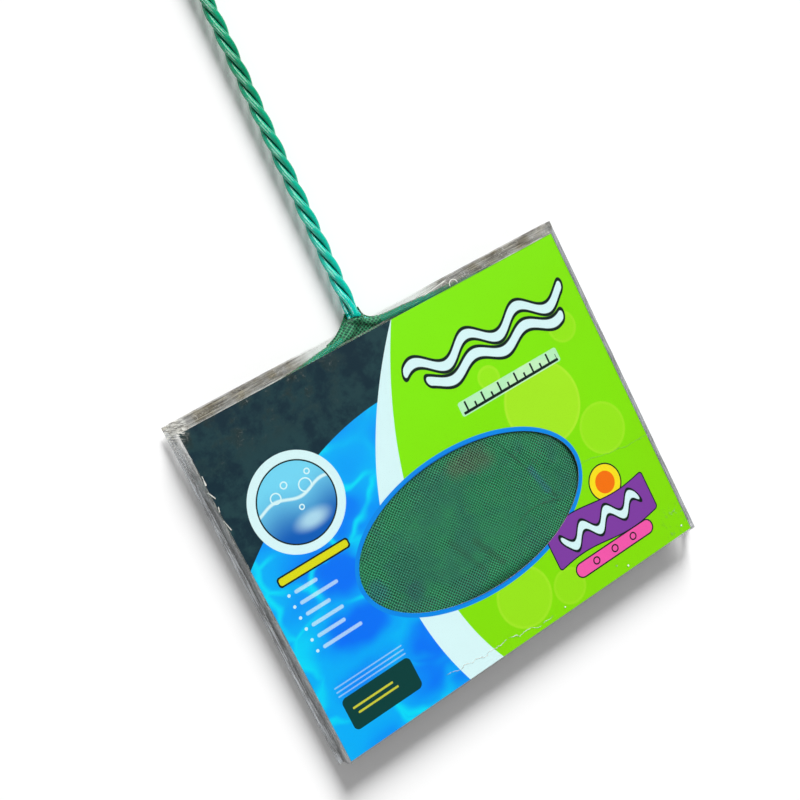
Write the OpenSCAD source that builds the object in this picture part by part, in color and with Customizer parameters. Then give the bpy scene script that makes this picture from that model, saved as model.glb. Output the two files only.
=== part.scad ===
// Aquarium fish net in its retail pouch.
// One plastic coated steel wire runs up the handle, round the hanging eye, down again, round the hoop and up
// once more, so the handle is twisted from three strands.
// A mesh bag is hemmed over the hoop and folded flat, under a printed card with an oval window.
// Millimetres. +Y runs up the handle and +Z out of the printed side of the card.
// The origin is the middle of the pouch's back face, on the plane that the pack lies on.

/* [Wire] */
// Outside diameter of the plastic coating
coat_d = 3.2; // [2.8:0.1:4]
// Diameter of the steel core
core_d = 1.9; // [1.2:0.1:2.2]

/* [Hoop] */
// Width of the hoop, over the coating
hoop_w = 200; // [160:5:240]
// Height of the hoop from its ridge to its bottom bar, over the coating
hoop_h = 150; // [120:5:190]
// Radius of the four corners, at the wire's centre
corner_r = 20; // [14:1:28]
// Fall of the two top bars from the ridge, in degrees
roof_fall = 5.2; // [2:0.2:8]
// Radius of the two bends where the strands part, at the wire's centre
neck_r = 9; // [7:0.5:12]
// Turn of the hoop in the pouch, in degrees
hoop_turn = 1.5; // [-2:0.5:2]

/* [Handle] */
// Length of the twisted part of the handle
handle_l = 272; // [150:1:400]
// Length of one full turn of the twist
twist_pitch = 36; // [28:1:48]
// Length at each end over which the strands ease into the twist
twist_ease = 8; // [4:1:16]
// Lean of the handle from the pouch's centre line, in degrees
handle_lean = 1.7; // [-3:0.1:3]
// Radius of the hanging eye, at the wire's centre
eye_r = 9.5; // [7:0.5:14]
// Radius of the two bends below the eye, at the wire's centre
eye_bend_r = 8; // [5:0.5:12]

/* [Ferrule] */
// Length of the crimped ferrule that joins the wire's ends
ferrule_l = 18; // [12:1:26]
// Depth of each crimp
crimp_depth = 0.3; // [0.1:0.05:0.4]
// Width of each crimp
crimp_w = 2; // [1:0.5:3]

/* [Mesh bag] */
// Thickness of one ply of mesh
ply_t = 0.45; // [0.3:0.05:0.6]
// Width of the sewn tail of the hem
tail_w = 8; // [5:0.5:12]
// How far the folded bag's bottom seam stays above the bottom hem
bag_stop = 7; // [3:1:30]
// How much narrower the bag is at its bottom seam, on each side
bag_taper = 10; // [0:1:20]
// Width of the rolled bottom seam
seam_w = 3; // [2:0.5:5]
// Width that each folded side gusset takes
gusset_w = 7; // [4:0.5:10]
// Radius of the mesh web's bay left of the handle
web_left_r = 20; // [14:1:26]
// Radius of the mesh web's bay right of the handle
web_right_r = 8; // [7.5:0.5:26]
// How far the mesh climbs the twist
web_climb = 1; // [0.5:0.5:4]

/* [Card] */
// How far the card passes the hoop at each side
card_side = 5; // [3:0.5:10]
// How much taller the card is than the hoop
card_extra = 15; // [8:1:25]
// Thickness of the card
card_t = 0.4; // [0.3:0.05:0.8]
// Width of the oval window
window_w = 126; // [80:1:140]
// Height of the oval window
window_h = 67; // [40:1:80]
// Drop of the window's centre below the card's centre
window_drop = 18.7; // [0:0.5:25]
// Sideways place of the card in the pouch
card_shift = -1; // [-2:0.5:2]

/* [Pouch] */
// Thickness of the film
film_t = 0.2; // [0.1:0.05:0.3]
// Width of the welded seam at each side
weld_w = 2.5; // [1.5:0.5:5]
// Width of the film between the card's edge and the weld, at each side
flank_w = 2.5; // [2.2:0.1:5]
// Height of the weld above the plane that the pack lies on
weld_z = 3; // [1.5:0.5:5]
// How far the open mouth stands above the card
mouth_rise = 5.4; // [2:0.2:12]
// Depth of the folded bottom edge
fold_d = 1.4; // [0.8:0.1:3]

/* [Packing] */
// Gap between pieces that rest on each other
rest_gap = 0.3; // [0.2:0.05:0.4]
// Sideways place of the neck in the pouch
neck_shift = -6.5; // [-9:0.5:0]
// How far the ridge of the hoop stands above the card
ridge_rise = 4.6; // [0:0.2:5]

/* [Hidden] */

// Clearances and small sizes
core_gap = 0.1;
strand_gap = 0.02;
hem_gap = 0.15;
neck_gap = 0.2;
tail_gap = 0.05;
floor_gap = 0.2;
butt_gap = 0.3;
film_lead = 0.3;
over = 1;

// Fineness of the swept strands and of drawn curves
coat_sides = 8;
core_sides = 6;
hem_sides = 9;
rings_per_turn = 10;
slices_per_turn = 30;
window_steps = 72;
fold_steps = 6;
round_fn = 48;

// Wire: upright strands touch at upright_r from the handle's axis, and leaning ones a little further out.
// The twist makes whole turns and one third, so that each strand ends in the next one's place.
strands = 3;
strand_turn = 360 / strands;
core_bore = core_d + 2 * core_gap;
turns = max(1, round((handle_l - twist_ease) / twist_pitch - 1 / strands)) + 1 / strands;
twist_rate = 360 * turns / (handle_l - twist_ease);
upright_r = (coat_d + strand_gap) / (2 * sin(strand_turn / 2));
strand_r = upright_r / sqrt(1 - pow(PI * upright_r * turns / (handle_l - twist_ease), 2));
foot_x = strand_r * sin(strand_turn / 2);
handle_rise = strand_r * cos(strand_turn / 2);
twist_r = strand_r + coat_d / 2;
web_bore = twist_r + hem_gap;
web_out = web_bore + ply_t;
wire_z = web_out - handle_rise + floor_gap;
handle_z = wire_z + handle_rise;

// Hoop, measured from the neck, where the strands part
neck_turn = 90 - roof_fall;
hoop_half = (hoop_w - coat_d) / 2;
bend_x = foot_x + neck_r * (1 - cos(neck_turn));
bend_y = neck_r * sin(neck_turn);
ridge_drop = bend_y - bend_x * tan(roof_fall);
corner_x = hoop_half - corner_r;
roof_l = (corner_x + corner_r * sin(roof_fall) - bend_x) / cos(roof_fall);
corner_y = -bend_y - roof_l * sin(roof_fall) - corner_r * cos(roof_fall);
hoop_bottom = -ridge_drop - (hoop_h - coat_d);
side_l = corner_y - (hoop_bottom + corner_r);

// Mesh bag
hem_bore = coat_d / 2 + hem_gap;
hem_r = hem_bore + ply_t;
hem_line_r = hem_bore + ply_t / 2;
hem_lap = asin((ply_t + tail_gap - hem_line_r) / hem_line_r);
hem_step = (270 - hem_lap) / hem_sides;
tail_t = 2 * ply_t + tail_gap;
// At the neck the gathered mesh lies closer on the wire than the hem does
bend_bore = coat_d / 2 + tail_gap;
bend_out = bend_bore + ply_t;
rise_run = 12;
ply_step = ply_t + rest_gap;
ply_low = film_t + rest_gap + ply_t / 2 - wire_z;
ply_mid = ply_low + ply_step;
ply_top = ply_mid + ply_step;
bag_top = -ridge_drop - tail_w / cos(roof_fall) - rest_gap / 2;
bag_low = hoop_bottom + tail_w + rest_gap / 2;
bag_half = hoop_half - tail_w - gusset_w - rest_gap;
bag_end = bag_low + bag_stop + seam_w;
bag_fold = (bag_top + bag_low) / 2;
fold_half = bag_half - bag_taper / 2;
end_half = bag_half - bag_taper;
corner_cut = bag_half - corner_x;

// Web between the handle and the hoop: each bay is a circle that runs into the top bar's hem and meets the
// edge of the mesh on the handle
roof_slope = tan(roof_fall);
bay_square = 1 + roof_slope * roof_slope;
function bay_rise(r) = (r + hem_r) / cos(roof_fall) - ridge_drop - web_climb;
function bay_sum(r) = web_out + bay_rise(r) * roof_slope;
function bay_rest(r) = web_out * web_out + bay_rise(r) * bay_rise(r) - r * r;
function bay_x(r) = (bay_sum(r) + sqrt(bay_sum(r) * bay_sum(r) - bay_square * bay_rest(r))) / bay_square;
function bay_y(r) = web_climb + bay_rise(r) - roof_slope * bay_x(r);

// Card and pouch
card_w = hoop_w + 2 * card_side;
card_h = hoop_h + card_extra;
card_z = handle_z + web_out + rest_gap;
front_z = card_z + card_t + rest_gap;
pouch_w = card_w + 2 * (flank_w + weld_w);
pouch_h = card_h + mouth_rise + fold_d + film_t;
card_bottom = -pouch_h / 2 + fold_d + film_t;
card_y = card_bottom + card_h / 2;
plateau_half = card_w / 2 + abs(card_shift) + rest_gap;
weld_x = pouch_w / 2 - weld_w;
foot_half = weld_x - flank_w;
film_low = -pouch_h / 2 + fold_d;
film_l = pouch_h - fold_d;

// Place of the neck in the pouch
neck_x = neck_shift;
neck_y = card_bottom + card_h + ridge_rise - coat_d / 2 + ridge_drop;

// The route of one half of the hoop from the neck: [length] runs straight and [radius, angle] bends, to the
// left where the angle is positive
neck_bend = [neck_r, neck_turn];
hoop_run = [[roof_l], [corner_r, -neck_turn], [side_l], [corner_r, -90]];
ferrule_half = ferrule_l / 2;
coat_route = concat([neck_bend], hoop_run, [[corner_x - ferrule_half - butt_gap]]);
core_route = concat([neck_bend], hoop_run, [[corner_x - butt_gap / 2]]);
hem_route = concat(hoop_run, [[corner_x]]);

// Hanging eye: the wire's own bend, parted from the twist by two small bends
eye_spread = acos((foot_x + eye_bend_r) / (eye_r + eye_bend_r));
eye_route = [[eye_bend_r, -eye_spread], [eye_r, 180 + 2 * eye_spread], [eye_bend_r, -eye_spread]];

// Places
module at_neck() { translate([neck_x, neck_y, wire_z]) children(); }
module in_hoop() { at_neck() rotate([0, 0, hoop_turn]) children(); }
module in_eye() { at_neck() rotate([0, 0, -handle_lean]) children(); }
module in_handle() { in_eye() translate([0, 0, handle_rise]) children(); }
module on_side(side) { if (side > 0) children(); else mirror([1, 0, 0]) children(); }

// A station on a route is its X, its Y and its heading, turned left from +Y
hoop_start = [foot_x, -neck_gap, 180];
eye_start = [foot_x, handle_l, 0];
// The station that lies part of a step past the one given
function advance(at, step, part = 1) =
    let (way = at[2])
    len(step) == 1 ? [at[0] - part * step[0] * sin(way), at[1] + part * step[0] * cos(way), way] :
    let (turned = way + part * step[1], r = sign(step[1]) * step[0])
    [at[0] + r * (cos(turned) - cos(way)), at[1] + r * (sin(turned) - sin(way)), turned];
function slices(step) = len(step) == 1 ? 1 : ceil(abs(step[1]) * slices_per_turn / 360);
function later_stations(at, route, i = 0) = i == len(route) ? [] : concat(
    [for (n = [1 : slices(route[i])]) advance(at, route[i], n / slices(route[i]))],
    later_stations(advance(at, route[i]), route, i + 1));
function stations(at, route) = concat([at], later_stations(at, route));

// Points of an outline set square to a route at each station, clockwise as seen along the route
function round_outline(r, sides) =
    [for (k = [0 : sides - 1]) r * [cos(360 * k / sides), -sin(360 * k / sides)]];
function swept_points(at, route, outline) = [for (s = stations(at, route)) for (p = outline)
    [s[0] + p[0] * cos(s[2]), s[1] + p[0] * sin(s[2]), p[1]]];

// Triangles over the wall of a sweep whose points start at the index given
function wall_faces(first, sides, rings, inside = false) =
    [for (i = [0 : rings - 2]) for (k = [0 : sides - 1])
        let (a = first + i * sides + k)
        let (b = first + i * sides + (k + 1) % sides)
        each inside ? [[a, a + sides, b], [b, a + sides, b + sides]] :
            [[a, b, a + sides], [b, b + sides, a + sides]]];

// Triangles between an outer ring and an inner ring, which goes round fewer times
function end_faces(outer, inner, far) =
    [for (n = [0 : coat_sides * core_sides - 1])
        let (o = floor(n / core_sides), q = floor(n / coat_sides))
        let (o2 = floor((n + 1) / core_sides), q2 = floor((n + 1) / coat_sides))
        let (a = outer + o, b = outer + o2 % coat_sides, c = inner + q, d = inner + q2 % core_sides)
        each concat(
            o2 > o ? [far ? [a, b, c] : [b, a, c]] : [],
            q2 > q ? [far ? [c, b, d] : [c, d, b]] : [])];

// A length of coating, from the points of its outside and of its bore
module coat_sweep(outer, bore) {
    rings = len(outer) / coat_sides;
    polyhedron(
        concat(outer, bore),
        concat(
            wall_faces(0, coat_sides, rings),
            wall_faces(len(outer), core_sides, rings, true),
            end_faces(0, len(outer), false),
            end_faces(len(outer) - coat_sides, len(outer) + len(bore) - core_sides, true)),
        convexity = 20);
}

// A length of steel core, from the points of its outside
module core_sweep(points) {
    last = len(points) - core_sides;
    polyhedron(
        points,
        concat(
            wall_faces(0, core_sides, len(points) / core_sides),
            [for (k = [1 : core_sides - 2]) [0, k + 1, k]],
            [for (k = [1 : core_sides - 2]) [last, last + k, last + k + 1]]),
        convexity = 20);
}

// A length of folded strip, whose outline goes along one face of the strip and back along the other
module strip_sweep(points, sides) {
    last = len(points) - sides;
    pairs = [0 : sides / 2 - 2];
    polyhedron(
        points,
        concat(
            wall_faces(0, sides, len(points) / sides),
            [for (k = pairs) each [[k + 1, k, sides - 1 - k], [k + 1, sides - 1 - k, sides - 2 - k]]],
            [for (k = pairs) each [
                [last + k, last + k + 1, last + sides - 1 - k],
                [last + k + 1, last + sides - 2 - k, last + sides - 1 - k]]]),
        convexity = 20);
}

module route_coat(at, route) {
    coat_sweep(
        swept_points(at, route, round_outline(coat_d / 2, coat_sides)),
        swept_points(at, route, round_outline(core_bore / 2, core_sides)));
}

module route_core(at, route) { core_sweep(swept_points(at, route, round_outline(core_d / 2, core_sides))); }

// A line moved sideways by t, with mitred corners, so that a strip keeps its thickness
function unit(v) = v / norm(v);
function left_of(v) = [-v[1], v[0]];
function mitre(line, i) =
    let (last = len(line) - 1)
    let (a = left_of(unit(line[max(i, 1)] - line[max(i, 1) - 1])))
    let (b = left_of(unit(line[min(i + 1, last)] - line[min(i, last - 1)])))
    (a + b) / (1 + a * b);
function beside(line, t) = [for (i = [0 : len(line) - 1]) line[i] + t * mitre(line, i)];
function backwards(line) = [for (i = [len(line) - 1 : -1 : 0]) line[i]];
module strip(line, t) { polygon(concat(beside(line, t / 2), backwards(beside(line, -t / 2)))); }

// Draws an outline given in Y and Z over a width in X
module across(width) { translate([-width / 2, 0, 0]) rotate([90, 0, 90]) linear_extrude(width) children(); }

// Twist: the angle that a strand has turned through at height y, and how fast it turns there
function twist_at(y) =
    y < twist_ease ? twist_rate * y * y / (2 * twist_ease) :
    y > handle_l - twist_ease ? 360 * turns - twist_rate * pow(handle_l - y, 2) / (2 * twist_ease) :
    twist_rate * (y - twist_ease / 2);
function twist_speed(y) = twist_rate * min(1, y / twist_ease, (handle_l - y) / twist_ease);

// One ring of points round a strand at height y
function strand_ring(y, start, r, sides) =
    let (a = start + twist_at(y))
    let (s = strand_r * twist_speed(y) * PI / 180)
    let (out = [cos(a), 0, sin(a)])
    let (ahead = unit([-s * sin(a), 1, s * cos(a)]))
    let (aside = cross(ahead, out))
    [for (k = [0 : sides - 1])
        [0, y, 0] + strand_r * out + r * (cos(360 * k / sides) * out + sin(360 * k / sides) * aside)];

strand_rings = ceil(turns * rings_per_turn);
strand_ys = [for (i = [0 : strand_rings]) handle_l * i / strand_rings];
function strand_points(start, r, sides) = [for (y = strand_ys) each strand_ring(y, start, r, sides)];

// Places of the strands at the neck: the third one lies on the two that part into the hoop. At the top it and
// the left one run into the eye.
return_start = 90;
right_start = return_start - strand_turn;
left_start = return_start + strand_turn;
module strand(start) {
    color("seagreen") in_handle() coat_sweep(
        strand_points(start, coat_d / 2, coat_sides),
        strand_points(start, core_bore / 2, core_sides));
}

module strand_core(start) {
    color("silver") in_handle() core_sweep(strand_points(start, core_d / 2, core_sides));
}

module hanging_eye() { color("seagreen") in_eye() route_coat(eye_start, eye_route); }
module eye_core() { color("silver") in_eye() route_core(eye_start, eye_route); }
module hoop(side) { color("seagreen") in_hoop() on_side(side) route_coat(hoop_start, coat_route); }
module hoop_core(side) { color("silver") in_hoop() on_side(side) route_core(hoop_start, core_route); }

// Steel sleeve crimped over the two bare ends of the wire
module hoop_ferrule() {
    crimps = [-1, 1];
    color("lightgray") in_hoop() translate([0, hoop_bottom - neck_gap, 0]) rotate([0, 90, 0])
        rotate_extrude($fn = round_fn) polygon(concat(
            [[core_bore / 2, -ferrule_half], [coat_d / 2, -ferrule_half]],
            [for (c = crimps) each [
                [coat_d / 2, c * ferrule_half / 2 - crimp_w / 2],
                [coat_d / 2 - crimp_depth, c * ferrule_half / 2 - crimp_w / 4],
                [coat_d / 2 - crimp_depth, c * ferrule_half / 2 + crimp_w / 4],
                [coat_d / 2, c * ferrule_half / 2 + crimp_w / 2]]],
            [[coat_d / 2, ferrule_half], [core_bore / 2, ferrule_half]]));
}

// Hem: a strip of mesh turned over the wire and sewn to itself in a flat tail on the inside of the hoop
hem_line = concat(
    [[tail_w, ply_t + tail_gap - hem_line_r]],
    [for (k = [0 : hem_sides]) hem_line_r * [cos(hem_lap + k * hem_step), sin(hem_lap + k * hem_step)]],
    [[tail_w, -hem_line_r]]);
module hem(side) {
    outline = concat(beside(hem_line, -ply_t / 2), backwards(beside(hem_line, ply_t / 2)));
    hem_start = advance(hoop_start, neck_bend);
    color("darkgreen") in_hoop() on_side(side)
        strip_sweep(swept_points(hem_start, hem_route, backwards(outline)), len(outline));
}

// Outline of the web: a band under the ridge with a round bay cut from each top corner
module web_outline() {
    difference() {
        translate([-bend_x, -ridge_drop - tail_w])
            square([2 * bend_x, ridge_drop + tail_w + web_climb]);
        translate([-bay_x(web_left_r), bay_y(web_left_r)]) circle(web_left_r, $fn = 4 * round_fn);
        translate([bay_x(web_right_r), bay_y(web_right_r)]) circle(web_right_r, $fn = 4 * round_fn);
        for (side = [-1, 1]) translate([side * bend_x, -bend_y - neck_gap])
            rotate(-side * roof_fall) translate([side * over / 2, -tail_w / 2 - over])
                square([over, tail_w + 3 * over], center = true);
    }
}

// Draws an outline round the bend of one side of the neck
module neck_bend_at(side) {
    centre_x = hoop_start[0] + neck_r;
    on_side(side) translate([centre_x, hoop_start[1], 0]) mirror([1, 0, 0]) rotate([0, 0, -neck_turn])
        rotate_extrude(angle = neck_turn, $fn = round_fn) translate([neck_r, 0]) children();
}

// Mesh gathered round the root of the twist and the two bends, with a flat web between them
module neck_web() {
    color("darkgreen") in_hoop() difference() {
        union() {
            translate([0, web_climb, handle_rise]) rotate([90, 0, 0])
                cylinder(h = web_climb + neck_gap, r = web_out, $fn = round_fn);
            for (side = [-1, 1]) neck_bend_at(side) circle(bend_out, $fn = round_fn);
            translate([0, 0, -hem_r]) linear_extrude(tail_t) web_outline();
        }
        translate([0, web_climb + over, handle_rise]) rotate([90, 0, 0])
            cylinder(h = web_climb + over + neck_gap, r = web_bore, $fn = round_fn);
        for (side = [-1, 1]) neck_bend_at(side) circle(bend_bore, $fn = round_fn);
    }
}

// Plan of a wall of the bag: a point on its middle line, if it has one, and the outline of its right half
module wall_plan(right, middle = []) {
    polygon(concat(middle, right, backwards([for (p = right) [-p[0], p[1]]])));
}

// Plan of the front wall, under the two falling top bars and clear of the hem's corners
module front_plan() {
    shoulder_y = bag_top - roof_slope * corner_x;
    shoulder = [[corner_x, shoulder_y], [bag_half, shoulder_y - corner_cut]];
    wall_plan(concat(shoulder, [[end_half, bag_end]]), middle = [[0, bag_top]]);
}

// Front wall: from the hem under the ridge down on to the back film and along to the bottom seam
module bag_front() {
    flat_end = bag_top - roof_slope * bag_half - rest_gap;
    line = [[bag_top, ply_top], [flat_end, ply_top], [flat_end - rise_run, ply_low], [bag_end, ply_low]];
    color("green") in_hoop() intersection() {
        across(2 * bag_half) strip(line, ply_t);
        translate([0, 0, -wire_z]) linear_extrude(wire_z) front_plan();
    }
}

// Back wall: from the bottom hem up to its fold and back to the bottom seam
module bag_back() {
    bend = ply_step / 2;
    middle = ply_mid + bend;
    fold_line = [for (i = [0 : fold_steps])
        [bag_fold - bend + bend * sin(180 * i / fold_steps), middle + bend * cos(180 * i / fold_steps)]];
    color("green") in_hoop() {
        intersection() {
            across(2 * bag_half) strip([[bag_low, ply_top], [bag_fold - bend, ply_top]], ply_t);
            translate([0, 0, middle]) linear_extrude(ply_step)
                wall_plan([[corner_x, bag_low], [bag_half, bag_low + corner_cut], [fold_half, bag_fold]]);
        }
        across(2 * fold_half) strip(fold_line, ply_t);
        intersection() {
            across(2 * bag_half) strip([[bag_end, ply_mid], [bag_fold - bend, ply_mid]], ply_t);
            translate([0, 0, middle - ply_step]) linear_extrude(ply_step)
                wall_plan([[end_half, bag_end], [fold_half, bag_fold]]);
        }
    }
}

// Side gusset: a ply from the side hem, folded back on itself
module bag_gusset(side) {
    bend = ply_step / 2;
    hem_x = hoop_half - tail_w - rest_gap / 2;
    fold_x = hem_x - gusset_w + bend + ply_t / 2;
    line = concat(
        [[hem_x, ply_top]],
        [for (i = [0 : fold_steps])
            [fold_x - bend * sin(180 * i / fold_steps), ply_mid + bend + bend * cos(180 * i / fold_steps)]],
        [[hem_x - rest_gap, ply_mid]]);
    color("green") in_hoop() on_side(side)
        translate([0, corner_y, 0]) rotate([90, 0, 0]) linear_extrude(side_l) strip(line, ply_t);
}

// Bottom seam: the ends of both walls rolled together
module bag_seam() {
    color("darkgreen") in_hoop() translate([-end_half, bag_end - seam_w, ply_low - ply_t / 2])
        cube([2 * end_half, seam_w, ply_step + ply_t]);
}

module window_outline() {
    turn = 360 / window_steps;
    translate([0, -window_drop]) polygon([for (i = [0 : window_steps - 1])
        [window_w / 2 * cos(i * turn), window_h / 2 * sin(i * turn)]]);
}

module printed_card() {
    color("yellowgreen") translate([card_shift, card_y, card_z]) linear_extrude(card_t) difference() {
        square([card_w, card_h], center = true);
        window_outline();
    }
}

// Flat of the front film, over the card
module pouch_front() {
    color("lightblue", 0.4) translate([-plateau_half, film_low, front_z])
        cube([2 * plateau_half, film_l, film_t]);
}

// Flat of the back film, which the pack lies on
module pouch_back() {
    color("lightblue", 0.4) translate([-foot_half, film_low, 0]) cube([2 * foot_half, film_l, film_t]);
}

// One side of the pouch: both films drawn together into the welded seam
module pouch_seam(side) {
    half_t = film_t / 2;
    weld_end = weld_x + weld_w;
    front_line = [[plateau_half, front_z + half_t], [plateau_half + film_lead, front_z + half_t],
        [weld_x, weld_z + half_t], [weld_end, weld_z + half_t]];
    back_line = [[foot_half, half_t], [foot_half + film_lead, half_t],
        [weld_x, weld_z - half_t], [weld_end, weld_z - half_t]];
    color("lightblue", 0.4) on_side(side) translate([0, film_low + film_l, 0]) rotate([90, 0, 0])
        linear_extrude(film_l) {
            strip(front_line, film_t);
            strip(back_line, film_t);
        }
}

// Bottom of the pouch, where the one sheet of film folds from front to back
module pouch_fold() {
    half_t = film_t / 2;
    deep = fold_d - half_t - film_lead;
    mid_z = (front_z + film_t) / 2;
    high = mid_z - half_t;
    round_line = [for (i = [0 : 2 * fold_steps])
        [film_low - film_lead - deep * sin(90 * i / fold_steps), mid_z + high * cos(90 * i / fold_steps)]];
    line = concat([[film_low, mid_z + high]], round_line, [[film_low, mid_z - high]]);
    color("lightblue", 0.4) across(2 * foot_half) strip(line, film_t);
}

hanging_eye();
eye_core();
strand(left_start);  // strand_left
strand(right_start);  // strand_right
strand(return_start);  // strand_return
strand_core(left_start);  // strand_core_left
strand_core(right_start);  // strand_core_right
strand_core(return_start);  // strand_core_return
hoop(-1);  // hoop_left
hoop(1);  // hoop_right
hoop_core(-1);  // hoop_core_left
hoop_core(1);  // hoop_core_right
hoop_ferrule();
hem(-1);  // hem_left
hem(1);  // hem_right
neck_web();
bag_front();
bag_back();
bag_gusset(-1);  // bag_gusset_left
bag_gusset(1);  // bag_gusset_right
bag_seam();
printed_card();
pouch_front();
pouch_back();
pouch_seam(-1);  // pouch_seam_left
pouch_seam(1);  // pouch_seam_right
pouch_fold();
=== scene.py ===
# Aquarium fish net in its retail pouch: the finish of every surface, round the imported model.
# One plastic coated wire makes the hanging eye, the twisted handle and the hoop. The mesh bag hangs on
# the hoop and lies folded under a printed card with an oval window, in a clear film pouch that is open
# at its mouth. Lengths are in millimetres until a mesh or a lamp is made. +Y runs up the handle, and +Z
# out of the card's print.
import math
from functools import partialmethod

import bpy
import numpy as np
from mathutils import Matrix, Vector, noise
from mathutils.geometry import delaunay_2d_cdt


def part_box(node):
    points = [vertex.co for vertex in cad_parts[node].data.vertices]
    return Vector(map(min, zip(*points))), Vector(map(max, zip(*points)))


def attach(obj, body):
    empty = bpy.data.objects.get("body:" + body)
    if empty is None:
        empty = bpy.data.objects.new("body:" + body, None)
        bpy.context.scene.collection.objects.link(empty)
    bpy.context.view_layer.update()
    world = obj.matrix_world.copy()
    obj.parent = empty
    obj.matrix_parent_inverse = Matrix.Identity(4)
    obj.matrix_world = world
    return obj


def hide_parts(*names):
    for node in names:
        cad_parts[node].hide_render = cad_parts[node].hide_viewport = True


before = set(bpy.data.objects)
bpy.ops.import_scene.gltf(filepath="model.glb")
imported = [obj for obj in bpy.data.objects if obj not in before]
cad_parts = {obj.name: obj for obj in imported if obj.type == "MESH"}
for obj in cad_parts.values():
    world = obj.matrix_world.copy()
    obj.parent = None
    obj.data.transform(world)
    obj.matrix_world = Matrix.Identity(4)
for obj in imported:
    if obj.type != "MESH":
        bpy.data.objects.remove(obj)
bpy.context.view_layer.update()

MM = 0.001
both_sides = (("left", -1), ("right", 1))


def node_box(node):
    """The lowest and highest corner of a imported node, in millimetres."""
    low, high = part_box(node)
    return low / MM, high / MM


# Wire: diameters from the frame, bends and lengths as on the drawing
eye_low, eye_high = node_box("hanging_eye")
coat_d = eye_high[2] - eye_low[2]
wire_z = (eye_high[2] + eye_low[2]) / 2
strand_gap = 0.02
hoop_w = 200
hoop_h = 150
corner_r = 20
neck_r = 9
roof_fall = math.radians(5.2)
hoop_turn = math.radians(1.5)
handle_l = 272
twist_pitch = 36
twist_ease = 8
handle_lean = math.radians(-1.7)
eye_r = 9.5
eye_bend_r = 8
ferrule_half = 9
ferrule_gap = 0.3

# Handle: three strands, which end a third of a turn past where they start
strands = 3
turns = round((handle_l - twist_ease) / twist_pitch - 1 / strands) + 1 / strands
upright_r = (coat_d + strand_gap) / (2 * math.sin(math.pi / strands))
strand_r = upright_r / math.sqrt(1 - (math.pi * upright_r * turns / (handle_l - twist_ease)) ** 2)
foot_x = strand_r * math.sin(math.pi / strands)
handle_rise = strand_r * math.cos(math.pi / strands)
twist_r = strand_r + coat_d / 2

# Net
ply_t = 0.45
hem_gap = 0.15
tail_w = 8
tail_gap = 0.05
web_climb = 1
web_left_r = 20
web_right_r = 8
seam_w = 3
gusset_w = 7
gusset_over = 9
gusset_lap = 0.9
bag_taper = 10
bag_stop = 7
rise_run = 12
rest_gap = 0.3

# Neck, where the strands part
neck_gap = 0.2
tucked_end = 3.6
tuck_bend = 0.08
ridge_rise = 4.6

# Hoop, measured from the neck
neck_turn = math.pi / 2 - roof_fall
hoop_half = (hoop_w - coat_d) / 2
bend_x = foot_x + neck_r * (1 - math.cos(neck_turn))
bend_y = neck_r * math.sin(neck_turn)
ridge_drop = bend_y - bend_x * math.tan(roof_fall)
corner_x = hoop_half - corner_r
roof_l = (corner_x + corner_r * math.sin(roof_fall) - bend_x) / math.cos(roof_fall)
corner_y = -bend_y - roof_l * math.sin(roof_fall) - corner_r * math.cos(roof_fall)
hoop_bottom = -ridge_drop - (hoop_h - coat_d)
side_l = corner_y - (hoop_bottom + corner_r)
neck_bend = (neck_r, neck_turn)
hoop_run = [(roof_l,), (corner_r, -neck_turn), (side_l,), (corner_r, -math.pi / 2)]
hoop_start = (foot_x, -neck_gap, math.pi)

# Card and film, from the frame
card_low, card_high = node_box("printed_card")
card_mid = (card_low + card_high) / 2
card_size = card_high - card_low
neck = np.array([-6.5, card_high[1] + ridge_rise - coat_d / 2 + ridge_drop])
front_low, front_high = node_box("pouch_front")
back_low, back_high = node_box("pouch_back")
weld_high = node_box("pouch_seam_right")[1]
fold_low = node_box("pouch_fold")[0]
film_t = back_high[2] - back_low[2]
weld_w = 2.5
weld_x = weld_high[0] - weld_w
weld_mid = 3.0


# Shader signals

class Signal:
    """A number that varies over a surface, written in sums as a plain number is."""

    def __init__(self, tree, socket):
        self.tree = tree
        self.socket = socket

    def maths(self, operation, *others):
        node = self.tree.nodes.new("ShaderNodeMath")
        node.operation = operation
        for socket, value in zip(node.inputs, (self, *others)):
            feed(self.tree, socket, value)
        return Signal(self.tree, node.outputs[0])

    __add__ = partialmethod(maths, "ADD")
    __sub__ = partialmethod(maths, "SUBTRACT")
    __mul__ = partialmethod(maths, "MULTIPLY")
    __truediv__ = partialmethod(maths, "DIVIDE")
    __abs__ = partialmethod(maths, "ABSOLUTE")
    least = partialmethod(maths, "MINIMUM")
    most = partialmethod(maths, "MAXIMUM")
    root = partialmethod(maths, "SQRT")
    sine = partialmethod(maths, "SINE")
    part = partialmethod(maths, "FRACT")

    def __neg__(self):
        return self * -1

    def __rsub__(self, other):
        return -self + other

    def square(self):
        return self * self

    def ramp(self, low, high, start=0.0, end=1.0):
        """Runs smoothly from start, where the signal is low, to end, where it is high."""
        node = self.tree.nodes.new("ShaderNodeMapRange")
        node.interpolation_type = "SMOOTHSTEP"
        for name, value in (("Value", self), ("From Min", low), ("From Max", high),
                            ("To Min", start), ("To Max", end)):
            feed(self.tree, node.inputs[name], value)
        return Signal(self.tree, node.outputs["Result"])

    def under(self, edge=0.0, soft=0.12):
        """1 where the signal is less than edge, and 0 past it, over a soft step."""
        return self.ramp(edge - soft, edge + soft, 1.0, 0.0)


def feed(tree, socket, value):
    """Gives a socket a signal, a socket to follow, or a plain value."""
    if isinstance(value, Signal):
        tree.links.new(value.socket, socket)
    elif isinstance(value, bpy.types.NodeSocket):
        tree.links.new(value, socket)
    else:
        socket.default_value = value


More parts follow.
